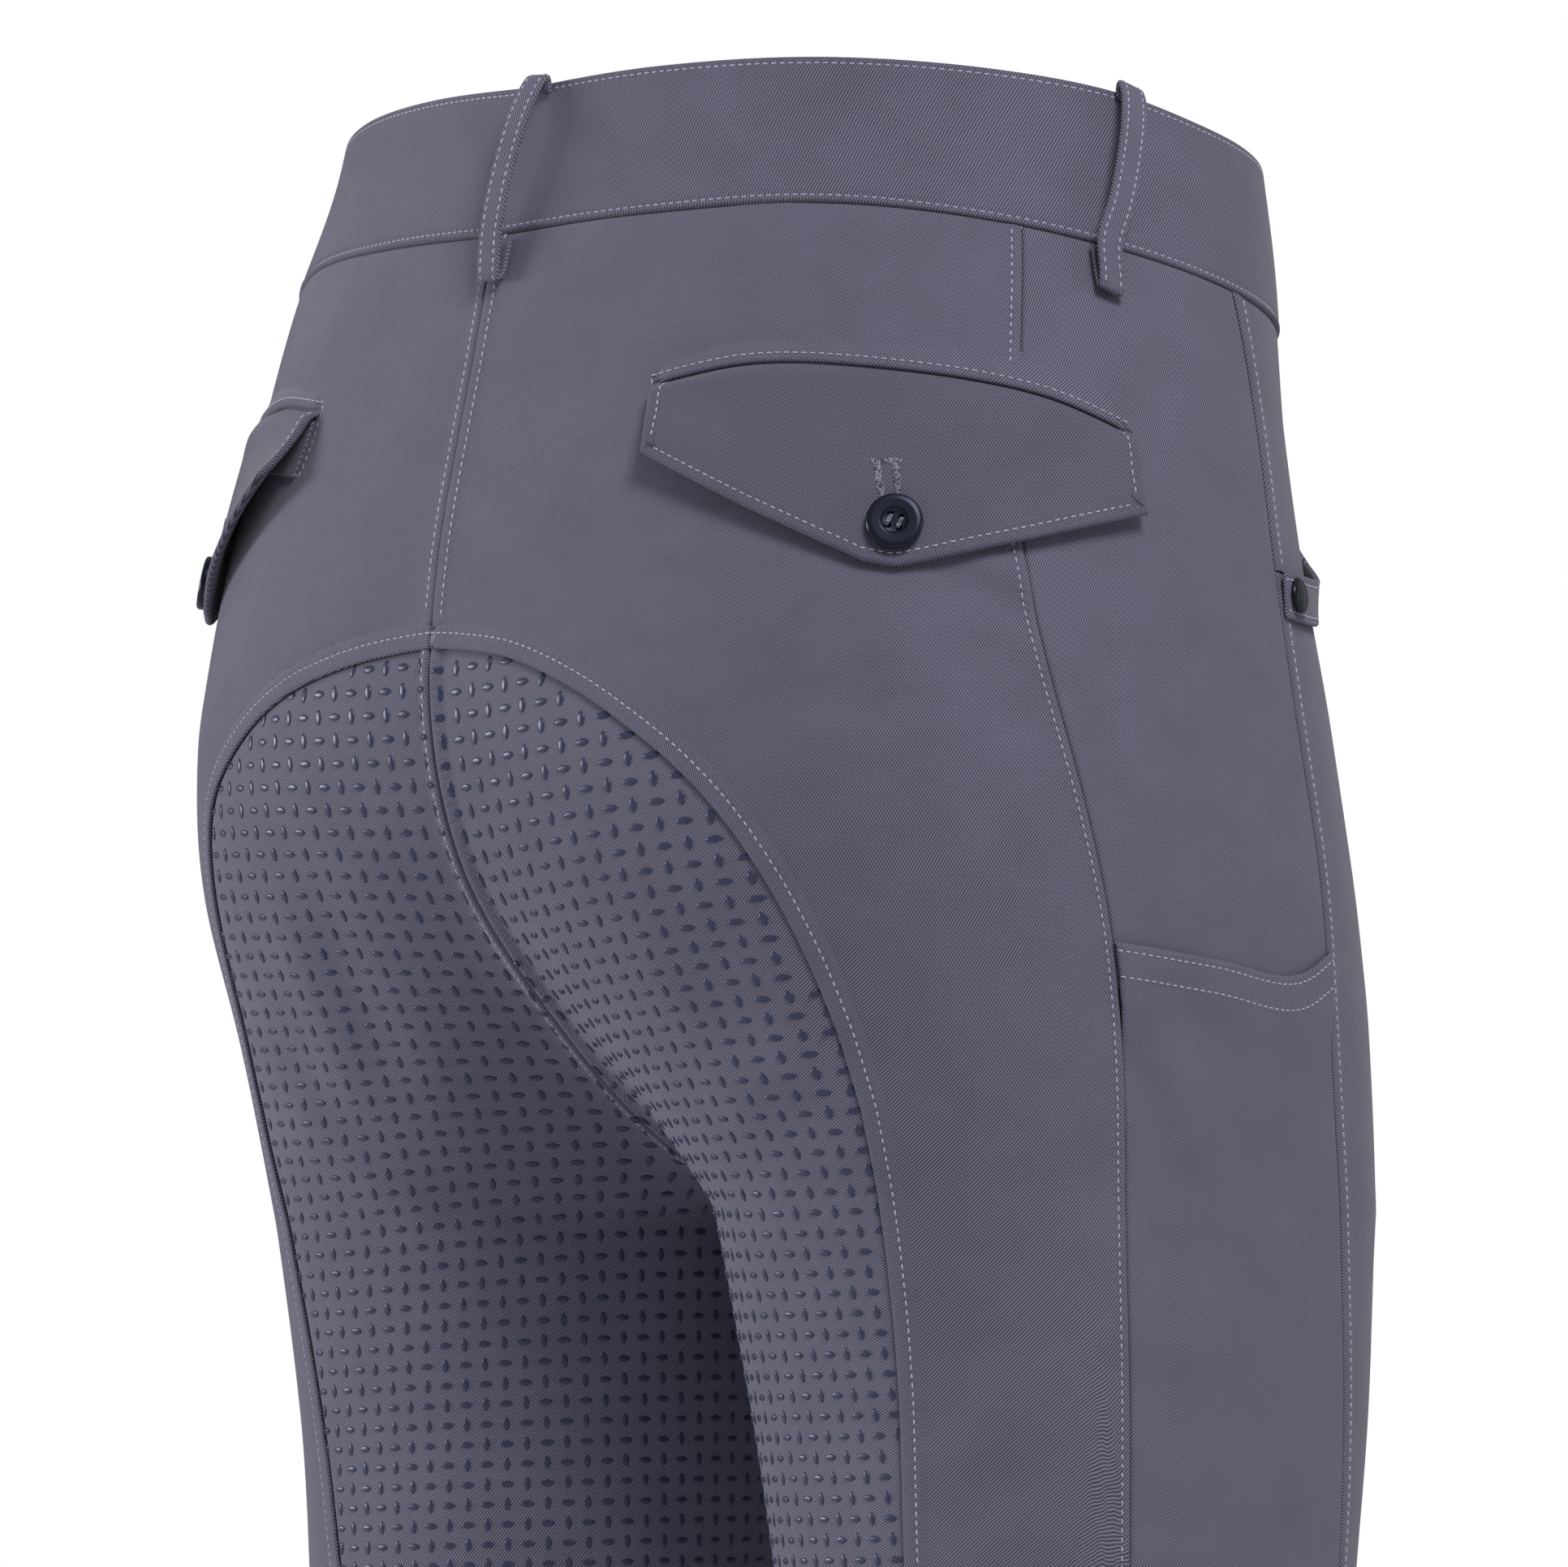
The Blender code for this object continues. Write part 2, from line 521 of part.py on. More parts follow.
def make_pocket_band(front):
    """Stitched band along the front pocket's mouth, on the front panel, its lip standing off."""
    grid = down_columns(front[:, FRONT_COLUMNS + 1:], np.linspace(0.4, POCKET_BAND_WIDTH, 3))
    along_mouth = np.linspace(0.08, 1, grid.shape[1])
    gape = LIP_GAPE * np.sin(np.pi * along_mouth ** 1.6 * 0.86)
    lift = LYING_GAP + POCKET_BAND_THICK
    proud = np.stack([lift + gape, lift + gape * 0.35, lift + 0 * gape])
    normals = outward(grid)
    cut = trim(grid, normals)
    pair("pocket_band", cut + normals * proud[..., None],
         cut + normals * (proud - POCKET_BAND_THICK)[..., None])


def make_fly(front):
    """Stitched fly piece on the right front, its outer edge curving in to the centre seam. Its
    rows and columns include the front panel's own, so that it folds where the panel does."""
    down = np.array([0.02, 0.25, 0.5, 0.75, 1, 1.25, 1.5, 1.75, 2, 2.17, 2.34, 2.5])
    round_off = np.clip((down / down[-1] - 0.7) / 0.3, 0, 1)
    reaches = 1.45 * (0.1 + 0.9 * np.sqrt(1 - round_off ** 2))
    rows = []
    for i, reach in zip(down, reaches):
        across = np.linspace(0.03, reach, 4)
        if reach > 1:
            across[2] = 1
        low, part = int(i), i - int(i)
        line = front[low] * (1 - part) + front[low + 1] * part
        rows.append(np.stack([np.interp(across, np.arange(len(line)), line[:, k])
                              for k in range(3)], -1))
    base = np.array(rows)
    normals = outward(base)
    wall("fly", base + normals * (FLY_GAP + CLOTH), base + normals * FLY_GAP)


# ---- waistband and loops -----------------------------------------------------------------------
def band_stations():
    """Bearings of the panels' stations round the right half, front to back."""
    front = np.linspace(0, SCOOP_START, FRONT_COLUMNS + 1)
    scoop = np.linspace(SCOOP_START, FRONT_BEARING, SCOOP_COLUMNS + 1)
    side = np.linspace(FRONT_BEARING, REAR_BEARING, SIDE_COLUMNS + 1)
    back = np.linspace(REAR_BEARING, 180, BACK_COLUMNS + 1)
    return np.concatenate([front, scoop[1:], side[1:], back[1:]])


def make_waistband():
    """One band from its under end right of the centre front, round the left side and the back, to
    its upper end left of the centre front, where it rises over the under end."""
    half = band_stations()
    bearing = np.concatenate([[-BAND_OVERLAP, -BAND_OVERLAP / 2], half, 360 - half[-2::-1],
                              [360 + BAND_OVERLAP / 2, 360 + BAND_OVERLAP]])
    around = np.where(bearing > 180, 360 - bearing, bearing)
    edges = np.stack([smooth(BAND, 1, np.abs(around)),
                      (smooth(BAND, 1, np.abs(around)) + smooth(BAND, 2, np.abs(around))) / 2,
                      smooth(BAND, 2, np.abs(around))])
    grid = on_form(np.abs(around)[None, :], edges)
    on_left = (bearing < 0) | ((bearing > 180) & (bearing < 360))
    grid[..., 0] *= np.where(on_left, -1, 1)
    rise = np.clip((OVER_END - bearing) / (OVER_END - BAND_OVERLAP), 0, 1)
    proud = BAND_PROUD + (BAND_THICK + LAP_GAP) * rise * rise * (3 - 2 * rise)
    normals = outward(grid)
    cut = trim(grid, normals)
    proud = np.broadcast_to(proud, grid.shape[:2])[..., None]
    wall("waistband", cut + normals * proud, cut + normals * (proud - BAND_THICK))


def loop_path(bearings):
    """Middle line of a belt loop from one bearing to another, and the way across it."""
    rows = np.array(LOOP_RUN)
    bearing = bearings[0] + (bearings[1] - bearings[0]) * rows[:, 0]
    top, bottom = (smooth(BAND, column, bearing) for column in (1, 2))
    base = on_form(bearing, top + (bottom - top) * rows[:, 0] - rows[:, 1])
    flat = outward(base) * np.array([1, 1, 0.0])
    fall = base[7] - base[2]
    return base + unit(flat) * rows[:, 2:3], unit(np.cross(-fall, flat[len(rows) // 2]))


def make_loop(name, bearings, flip=1):
    """A folded strip LOOP_WIDTH wide along loop_path()."""
    path, across = loop_path(bearings)
    wide = across * LOOP_WIDTH / 2
    direction = unit(np.gradient(path, axis=0))
    face = unit(np.cross(direction, wide)) * LOOP_THICK / 2
    outer = np.stack([path + face - wide, path + face + wide])
    inner = np.stack([path - face - wide, path - face + wide])
    mirror = np.array([flip, 1, 1])
    wall(name, outer * mirror, inner * mirror)


def make_loops():
    make_loop("loop_back", LOOP_BACK)
    for name, bearings in (("loop_side", LOOP_SIDE), ("loop_front", LOOP_FRONT)):
        make_loop(name + "_right", bearings)
        make_loop(name + "_left", bearings, -1)


# ---- back pockets ------------------------------------------------------------------------------
def straight(rows, column, at):
    """Value of a table's column at `at`, on straight lines through its rows."""
    table = np.array(rows, float)
    return np.interp(at, table[:, 0], table[:, column])


def flap_at(u, v, turn, rise):
    """Points of the form under the flap at shares along and down it, and the height of its face."""
    bearing = (1 - v) * smooth(FLAP_TOP, 1, u) + v * straight(FLAP_LOW, 1, u) + turn
    height = (1 - v) * smooth(FLAP_TOP, 2, u) + v * straight(FLAP_LOW, 2, u) + rise
    seat = LYING_GAP + WELT_THICK + LAP_GAP
    return on_form(bearing, height), seat + FLAP_THICK + smooth(FLAP_OFF, 1, u) * v ** 1.5


def make_flaps():
    u, v = np.meshgrid(np.linspace(0, 1, FLAP_COLUMNS + 1), np.linspace(0, 1, FLAP_ROWS + 1))
    for end, mirror, turn, rise in POCKETS:
        base, proud = flap_at(u, v, turn, rise)
        normals, flip = outward(base), np.array([mirror, 1, 1])
        wall("flap" + end, (base + normals * proud[..., None]) * flip,
             (base + normals * (proud - FLAP_THICK)[..., None]) * flip)


def make_welts():
    """Strips stitched round the pockets' slits, flat on the panels under the flaps."""
    u, v = np.meshgrid(np.linspace(0.01, 0.97, FLAP_COLUMNS + 1), np.linspace(0, 1, 2))
    for end, mirror, turn, rise in POCKETS:
        base = on_form(smooth(FLAP_TOP, 1, u) + turn,
                       smooth(FLAP_TOP, 2, u) + rise - 1 - WELT_HEIGHT * v)
        normals, flip = outward(base), np.array([mirror, 1, 1])
        wall("welt" + end, (base + normals * (LYING_GAP + WELT_THICK)) * flip,
             (base + normals * LYING_GAP) * flip)


# ---- buttons and snaps -------------------------------------------------------------------------
def turned(name, profile, radius, finish):
    """A profile spun round Z: its first and last rows lie on the axis."""
    rows = np.array(profile[1:-1], float)
    angle = np.linspace(0, 2 * np.pi, ROUND_STEPS, endpoint=False)
    ring = np.stack([np.cos(angle), np.sin(angle)], -1)
    points = [np.column_stack([ring * radius * r, np.full(ROUND_STEPS, z)]) for r, z in rows]
    points = np.concatenate(points + [[[0, 0, profile[0][1]]], [[0, 0, profile[-1][1]]]])
    faces = []
    for k in range(len(rows) - 1):
        for i in range(ROUND_STEPS):
            j = (i + 1) % ROUND_STEPS
            low, high = k * ROUND_STEPS, (k + 1) * ROUND_STEPS
            faces.append((low + i, low + j, high + j, high + i))
    first, last, top = len(points) - 2, len(points) - 1, (len(rows) - 1) * ROUND_STEPS
    for i in range(ROUND_STEPS):
        j = (i + 1) % ROUND_STEPS
        faces.append((first, j, i))
        faces.append((last, top + i, top + j))
    return add_object(name, points, faces, finish)


def frame_at(point, out):
    """Matrix that puts a turned piece's back face at a point, its axis along `out`."""
    axis_z = Vector(out)
    axis_x = Vector((0, 0, 1)).cross(axis_z).normalized()
    axis_y = axis_z.cross(axis_x)
    turn = Matrix((axis_x, axis_y, axis_z)).transposed().to_4x4()
    return Matrix.Translation(Vector(point) * MM) @ turn


def cut_holes(body, name):
    """Four thread holes, cut by a Boolean with one joined cutter."""
    tool = bmesh.new()
    radius, at = THREAD_HOLE * MM, THREAD_HOLE_AT * MM
    for x, y in ((-at, -at), (at, -at), (at, at), (-at, at)):
        made = bmesh.ops.create_cone(tool, cap_ends=True, segments=8, radius1=radius,
                                     radius2=radius, depth=8 * MM)
        bmesh.ops.translate(tool, verts=made["verts"], vec=(x, y, 0))
    mesh = bpy.data.meshes.new(name + "_cutter")
    tool.to_mesh(mesh)
    tool.free()
    cutter = bpy.data.objects.new(name + "_cutter", mesh)
    bpy.context.scene.collection.objects.link(cutter)
    cutter.hide_render = True
    cutter.display_type = "WIRE"
    cutter.matrix_world = body.matrix_world
    hole = body.modifiers.new("holes", "BOOLEAN")
    hole.operation = "DIFFERENCE"
    hole.object = cutter


def make_button(name, point, out):
    body = turned(name, BUTTON_PROFILE, BUTTON_WIDTH / 2, resin())
    body.matrix_world = frame_at(point, out)
    cut_holes(body, name)


def clear_of(base, proud):
    """Point just clear of a surface that lies `proud` of the form, and its outward direction."""
    out = outward(base)
    return base + out * proud, out


def make_buttons():
    """A button on the point of each flap and one on the band's upper end at the front."""
    for end, mirror, turn, rise in POCKETS:
        base, proud = flap_at(BUTTON_ALONG, BUTTON_DOWN, turn, rise)
        point, out = clear_of(base, proud + 0.7)
        make_button("flap_button" + end, point * [mirror, 1, 1], out * [mirror, 1, 1])
    middle = (smooth(BAND, 1, 0.0) + smooth(BAND, 2, 0.0)) / 2
    point, out = clear_of(on_form(0.0, middle), BAND_PROUD + BAND_THICK + LAP_GAP + 0.5)
    make_button("waist_button", point, out)


def make_snaps():
    """Cap snap at the back end of each front pocket's band."""
    mouth = scoop_line()
    spot = mouth[-1] + unit(mouth[-2] - mouth[-1]) * SNAP_BACK
    spot = lay(spot - np.array([0, 0, SNAP_DOWN]))
    point, out = clear_of(spot, LYING_GAP + POCKET_BAND_THICK + 1.0)
    for name, side in (("pocket_snap_right", 1), ("pocket_snap_left", np.array([-1, 1, 1]))):
        body = turned(name, SNAP_PROFILE, SNAP_WIDTH / 2, resin())
        body.matrix_world = frame_at(point * side, out * side)


for existing in list(bpy.data.objects):
    bpy.data.objects.remove(existing, do_unlink=True)
make_waistband()
make_loops()
make_backs()
make_seat_patches()
make_side()
front_panel = front_net()
cloth_pair("front", front_panel)
make_hip_underlay()
make_pocket_band(front_panel)
make_fly(front_panel)
make_welts()
make_flaps()
make_buttons()
make_snaps()
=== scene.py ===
"""Riding breeches in slate stretch twill, in their worn form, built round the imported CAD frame.

Everything is worked out in millimetres and handed to Blender in metres. +Z is up, the front faces
-Y and the wearer's right is -X. The right half is worked out and the left half mirrors it, apart
from its back pocket, its seat patch's outer seam, its creases and the run of its weave.
"""
import math

import bpy
import numpy as np
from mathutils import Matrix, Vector


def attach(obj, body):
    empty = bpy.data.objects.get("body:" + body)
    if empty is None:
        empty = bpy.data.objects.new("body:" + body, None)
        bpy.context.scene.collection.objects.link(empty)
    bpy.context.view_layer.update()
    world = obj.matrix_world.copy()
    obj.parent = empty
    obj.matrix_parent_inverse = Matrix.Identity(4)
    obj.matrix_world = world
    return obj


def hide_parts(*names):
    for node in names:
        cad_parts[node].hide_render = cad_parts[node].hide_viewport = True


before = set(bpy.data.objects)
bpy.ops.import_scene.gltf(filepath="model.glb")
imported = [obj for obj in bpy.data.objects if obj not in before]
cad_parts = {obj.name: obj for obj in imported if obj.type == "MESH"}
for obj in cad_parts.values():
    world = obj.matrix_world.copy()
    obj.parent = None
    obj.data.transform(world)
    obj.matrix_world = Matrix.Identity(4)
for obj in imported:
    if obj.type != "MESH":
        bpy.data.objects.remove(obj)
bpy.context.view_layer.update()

# ---- back panels -------------------------------------------------------------------------------
# Two panels of slate stretch twill run from the waist seam over the hip and down the outer back of
# the leg. They are joined at the centre back with a row of stitches, and their inner edges are
# folded under and topstitched over the seat patches.
MM = 0.001
CLOTH = 1.2                 # one layer with its seam allowances
HEM_HEIGHT, HEM_STITCH = -935.0, 20.0
# Hip form, a rounded ellipse at each height: (height, half width, half depth, centre towards back)
HIP = [(30, 138, 99, 0), (0, 142, 103, 3), (-40, 153, 108, 10), (-80, 160, 113, 15),
       (-120, 164, 121, 18), (-160, 166.5, 129, 18), (-200, 167.5, 131, 17), (-240, 166, 126, 13),
       (-290, 165, 119, 9)]
# Right leg form at each height: (height, centre outwards, centre towards back, half width, depth)
LEG = [(-80, 78, 22, 85, 123), (-120, 77.5, 17, 86.5, 122), (-160, 78.75, 10, 87.75, 122),
       (-200, 80.25, 2, 86.75, 117), (-240, 82.5, -3, 81.5, 107), (-290, 86, -7, 76.5, 95.5),
       (-340, 89, -9, 74, 86.5), (-390, 92, -8, 71, 79), (-440, 95, -7, 67, 73),
       (-520, 98, -9, 61, 65), (-600, 100, -10, 56, 60), (-650, 101, -5, 54, 57),
       (-720, 103, 2, 52.5, 56), (-790, 105, 6, 47, 51), (-860, 107, 8, 41, 45.5),
       (-935, 109, 10, 37.5, 41.5)]
# How much of the form is legs and how much is hips: (height, share of the legs)
SHARE = [(-80, 0), (-120, 0.1), (-160, 0.22), (-200, 0.42), (-240, 0.7), (-290, 1.0)]
HIP_SQUARE, LEG_SQUARE, CROTCH_ROUND = 2.12, 2.2, 24.0
# Waistband: (bearing, height of its top edge, height of its seam)
BAND = [(0, -15, -61), (30, -13.5, -59.5), (60, -9, -55.5), (86, -2.5, -48.5), (100, 4, -42),
        (113, 8, -35.5), (130, 11.5, -29.5), (155, 12.5, -29), (180, 11, -30.5)]
# Seams down the right half: (height, bearing)
REAR_SIDE = [(-30, 112), (-78, 114), (-120, 116), (-190, 116), (-225, 117), (-276, 121),
             (-318, 122.5), (-386, 123.5), (-600, 122), (-720, 119), (-935, 116)]
SEAT_ARCH = [(-143, 190), (-147.5, 179), (-157, 171.2), (-168.5, 166), (-179.5, 162.6),
             (-193, 160.4), (-209, 159.8), (-226, 160.4), (-245, 161.6), (-276, 163.2),
             (-307, 164), (-339, 165.3), (-386, 168), (-440, 170), (-600, 172), (-720, 170),
             (-935, 165)]
SEAT_ARCH_LEFT = [(-143, 190), (-145, 181), (-147.8, 174.6), (-150.5, 170), (-154, 166),
                  (-158, 162.6), (-162.5, 159.7), (-168, 156.7), (-174, 154.2), (-181, 153),
                  (-190, 153.3), (-200, 154.4), (-212, 155.4), (-226, 156.2), (-245, 157.6),
                  (-276, 159.8), (-307, 161.5), (-339, 163.5), (-386, 167), (-440, 170),
                  (-600, 172), (-720, 170), (-935, 165)]
SEAT_SIDE_END = -250.0      # height where the seam leaves the seat for the leg
PHONE_TOP = -225.0          # height of the phone pocket's mouth at the rear side seam
MIDDLE = np.array([0.0, 10.0, -150.0])      # the centre-back and centre-front seams go round it
REACH = 260.0               # longer than any ray from the middle to the form
SEAT_STRETCH = 0.15         # how far the seat draws the print apart
# Lines near a cloth edge, where it rolls under: distances from the edge
EDGE_LINES = np.array([0, 0.3, 0.7, 1.2, 2, 3, 4.2, 5.5, 8])
CENTRE_STITCH, PATCH_STITCH, REAR_STITCH = 2.9, 4.3, 2.9    # rows' distances from their edges
FOLD_COVERS = 1.6           # the folded edge hides the panel this near the seat patch's seam
SIDES = (("right", 1), ("left", -1))


def ease(t):
    """Smoothstep t^2 (3 - 2t), of t kept in 0 to 1."""
    t = np.clip(t, 0, 1)
    return t * t * (3 - 2 * t)


def swell(d, at=0.0, width=0.6):
    """A rounded rise, 1 high, at distance `at`: exp(-((d - at) / width)^2)."""
    return np.exp(-((d - at) / width) ** 2)


def smooth(rows, column, at):
    """Value of a table's column on the cubic Hermite curve through its rows, whose slope at each
    row is numpy's gradient: (1+2t)(1-t)^2 y0 + t(1-t)^2 h s0 + t^2(3-2t) y1 + t^2(t-1) h s1."""
    table = np.array(rows, float)
    table = table[np.argsort(table[:, 0])]
    x, y = table[:, 0], table[:, column]
    slopes = np.gradient(y, x)
    i = np.clip(np.searchsorted(x, at) - 1, 0, len(x) - 2)
    h = x[i + 1] - x[i]
    t = np.clip((at - x[i]) / h, 0, 1)
    return ((1 + 2 * t) * (1 - t) ** 2 * y[i] + t * (1 - t) ** 2 * h * slopes[i]
            + t * t * (3 - 2 * t) * y[i + 1] + t * t * (t - 1) * h * slopes[i + 1])


def ellipse(x, y, half_x, half_y, square):
    """((|x/a|^s + |y/b|^s)^(1/s) - 1) sqrt(a b): about how far a level point is outside."""
    size = (np.abs(x / half_x) ** square + np.abs(y / half_y) ** square) ** (1 / square)
    return (size - 1) * np.sqrt(half_x * half_y)


def figure(p):
    """About how far points lie outside the worn form: (1 - share) hips + share legs, where the
    legs are min(right, left) - k^2 CROTCH_ROUND / 4 with k = 1 - |right - left| / CROTCH_ROUND."""
    x, y, z = p[..., 0], p[..., 1], p[..., 2]
    hips = ellipse(x, y - smooth(HIP, 3, z), smooth(HIP, 1, z), smooth(HIP, 2, z), HIP_SQUARE)
    out, back, half_x, half_y = (smooth(LEG, column, z) for column in (1, 2, 3, 4))
    right = ellipse(x + out, y - back, half_x, half_y, LEG_SQUARE)
    left = ellipse(x - out, y - back, half_x, half_y, LEG_SQUARE)
    near = np.maximum(CROTCH_ROUND - np.abs(right - left), 0) / CROTCH_ROUND
    legs = np.minimum(right, left) - near ** 2 * CROTCH_ROUND / 4
    share = np.clip(smooth(SHARE, 1, z), 0, 1)
    return (1 - share) * hips + share * legs


def slope(p, step=0.5):
    """Gradient of figure() by differences of a step each way."""
    return np.stack([(figure(p + step * axis) - figure(p - step * axis)) / (2 * step)
                     for axis in np.eye(3)], -1)


def unit(v):
    """Vectors divided by their lengths."""
    return v / np.linalg.norm(v, axis=-1, keepdims=True)


def outward(p):
    """Outward normal of the form: the unit gradient of figure()."""
    return unit(slope(p))


def lay(p):
    """Newton steps p - F g / |g|^2 until points lie on the form."""
    for _ in range(4):
        g = slope(p)
        p = p - figure(p)[..., None] * g / np.sum(g * g, -1, keepdims=True)
    return p


def leave(start, way, reach):
    """Point where a ray from inside leaves the form, by halving the stretch it must lie in."""
    low, high = np.zeros(np.shape(reach)), np.array(reach, float)
    for _ in range(34):
        middle = (low + high) / 2
        inside = figure(start + middle[..., None] * way) < 0
        low, high = np.where(inside, middle, low), np.where(inside, high, middle)
    return start + low[..., None] * way


def axis_at(z):
    """Middle that bearings go round: the body's at the waist, then the right leg's."""
    t = ease((-60 - z) / 220)
    return np.stack([-smooth(LEG, 1, z) * t, smooth(LEG, 2, z) * t, z], -1)


def on_form(bearing, z):
    """Point of the form at a bearing (0 front, 90 outer side, 180 back) and a height."""
    bearing, z = np.broadcast_arrays(np.asarray(bearing, float), np.asarray(z, float))
    angle = np.radians(bearing)
    way = np.stack([-np.sin(angle), -np.cos(angle), 0 * angle], -1)
    start = axis_at(z)
    to_middle = np.where(way[..., 0] > 1e-6, -start[..., 0] / np.maximum(way[..., 0], 1e-6), REACH)
    reach = np.where(start[..., 0] < -1e-6, np.minimum(to_middle, REACH), REACH)
    return leave(start, way, reach)


def bearing_of(p, low):
    """Bearing of points in degrees, counted from `low` up to a full turn above it."""
    start = axis_at(p[..., 2])
    angle = np.degrees(np.arctan2(start[..., 0] - p[..., 0], start[..., 1] - p[..., 1]))
    return (angle - low) % 360 + low


def centre_line(first, last, steps):
    """The form's outline in the plane X = 0, from one of its points to another, at equal turns."""
    start, end = (math.atan2(p[2] - MIDDLE[2], p[1] - MIDDLE[1]) for p in (first, last))
    angle = np.linspace(start, end if end <= start else end - 2 * math.pi, steps + 1)
    way = np.stack([0 * angle, np.cos(angle), np.sin(angle)], -1)
    return leave(MIDDLE + 0 * way, way, np.full(steps + 1, REACH))


def band_point(bearing, column):
    """Point on the band's top edge (column 1) or seam (column 2) at bearings of the right half."""
    return on_form(bearing, smooth(BAND, column, np.abs(np.asarray(bearing, float))))


def down_seam(rows, heights):
    """Points of the form at heights, at the bearings that a seam table gives them."""
    return on_form(smooth(rows, 1, heights), heights)


def runs(grid):
    """Length down each column of a grid, from its first row."""
    gaps = np.linalg.norm(np.diff(grid[..., :3], axis=0), axis=-1)
    return np.concatenate([np.zeros((1, grid.shape[1])), np.cumsum(gaps, 0)])


def run_along(line):
    """Length along a polyline at each of its points."""
    return runs(line[:, None])[:, 0]


def at_runs(at, run, line):
    """Points of a polyline at given lengths along it."""
    return np.stack([np.interp(at, run, column) for column in line.T], -1)


def along(points, steps):
    """Points at equal lengths along a polyline."""
    run = run_along(points)
    return at_runs(np.linspace(0, run[-1], steps + 1), run, points)


def meet_band(rows):
    """Height and bearing where a seam table meets the band's seam."""
    z = -45.0
    for _ in range(20):
        z = float(smooth(BAND, 2, smooth(rows, 1, z)))
    return z, float(smooth(rows, 1, z))


def leg_heights(first, steps, crowd):
    """Heights from `first` to the hem, closer together near the top where crowd is over 1."""
    return first + (HEM_HEIGHT - first) * np.linspace(0, 1, steps + 1) ** crowd


def net(top, bottom, left, right, low, rounds=14):
    """Grid of points on the form inside four edges: bearings and heights are a Coons patch of the
    edges', and then each inner point goes half way to the middle of its four neighbours."""
    u = np.linspace(0, 1, len(top))[None, :, None]
    v = np.linspace(0, 1, len(left))[:, None, None]
    t, b, l, r = (np.stack([bearing_of(p, low), p[..., 2]], -1) for p in (
        top[None], bottom[None], left[:, None], right[:, None]))
    corners = ((1 - u) * (1 - v) * t[:, :1] + u * (1 - v) * t[:, -1:]
               + (1 - u) * v * b[:, :1] + u * v * b[:, -1:])
    blend = (1 - v) * t + v * b + (1 - u) * l + u * r - corners
    grid = on_form(blend[..., 0], blend[..., 1])
    grid[0], grid[-1], grid[:, 0], grid[:, -1] = top, bottom, left, right
    for _ in range(rounds):
        mean = (grid[:-2, 1:-1] + grid[2:, 1:-1] + grid[1:-1, :-2] + grid[1:-1, 2:]) / 4
        grid[1:-1, 1:-1] = lay((grid[1:-1, 1:-1] + mean) / 2)
    return grid


def springs(grid):
    """The two sets of ends of a grid's links along its rows, columns and diagonals."""
    rows, columns = grid.shape[:2]
    return [(np.s_[:rows - di, max(0, -dj):columns - max(0, dj)],
             np.s_[di:, max(0, dj):columns - max(0, -dj)])
            for di, dj in ((1, 0), (0, 1), (1, 1), (1, -1))]


def relax(flat, links, pull, rounds, keep):
    """Lets springs draw a flat grid: in each round every point moves by a fifth of what its links'
    pulls on it add up to, and by `keep` times its last move."""
    step = np.zeros_like(flat)
    for _ in range(rounds):
        move = np.zeros_like(flat)
        for a, b, *spring in links:
            drawn = pull(flat[b] - flat[a], *spring) / 2
            move[a] += drawn
            move[b] -= drawn
        step = keep * step + move / 5
        flat += step
    return flat


def flatten(grid, low=0):
    """The grid laid out flat in mm, u to the viewer's right and v up. From its bearings and
    heights, spread so far that every spring pulls, springs along its rows, columns and diagonals
    draw it back to their lengths. Its lower half then hangs plumb."""
    def to_length(gap, rest):
        """Pull along a link: gap (1 - rest / length)."""
        length = np.linalg.norm(gap, axis=-1)
        return gap * ((length - rest) / np.maximum(length, 1e-6))[..., None]

    flat = 1.6 * np.stack([-75 * np.radians(bearing_of(grid, low)), grid[..., 2]], -1)
    links = [(a, b, np.linalg.norm(grid[b] - grid[a], axis=-1)) for a, b in springs(grid)]
    flat = relax(flat, links, to_length, 2000, 0.7)
    rows, columns = grid.shape[:2]
    grain = flat[-1, columns // 2] - flat[rows * 6 // 10, columns // 2]
    turn = math.atan2(grain[0], -grain[1])
    c, s = math.cos(turn), math.sin(turn)
    return flat @ np.array([[c, s], [-s, c]]).T


def draw_level(grid, flat):
    """The flat pattern as stretch cloth takes it, its rows level all over the body. As in
    flatten(), springs draw the flat grid, but each to (d . h, d . t) / stretch, with d between its
    ends, h level and t = n x h up; they pull by the sine of the cloth's slope from level."""
    normals, links = outward(grid), []
    for a, b in springs(grid):
        n, d = unit(normals[a] + normals[b]), grid[b] - grid[a]
        level = np.cross([0, 0, 1.0], n)
        steep = np.linalg.norm(level, axis=-1, keepdims=True)
        level = level / np.maximum(steep, 1e-3)
        stretch = 1 + SEAT_STRETCH * np.clip((grid[a][..., 2:] + 235) / 60, 0, 1)
        want = np.stack([np.sum(d * level, -1), np.sum(d * np.cross(n, level), -1)], -1) / stretch
        links.append((a, b, want, 0.02 + steep ** 2))
    return relax(flat.copy(), links, lambda gap, want, strength: (gap - want) * strength, 2500,
                 0.88)


def redraw(grid, step):
    """New lines down every column of a grid: close together by both ends, where the cloth rolls
    under, and even between, about a step apart. Also their distances down each column."""
    run = runs(grid)
    count = max(int(run[-1].max() / step), 1)
    want = []
    for length in run[-1]:
        near = EDGE_LINES * min(1, length / (2.6 * EDGE_LINES[-1]))
        inner = np.linspace(near[-1], length - near[-1], count + 2)[1:-1]
        want.append(np.concatenate([near, inner, length - near[::-1]]))
    columns = [at_runs(at, run[:, c], grid[:, c]) for c, at in enumerate(want)]
    return np.stack(columns, 1), np.stack(want, 1)


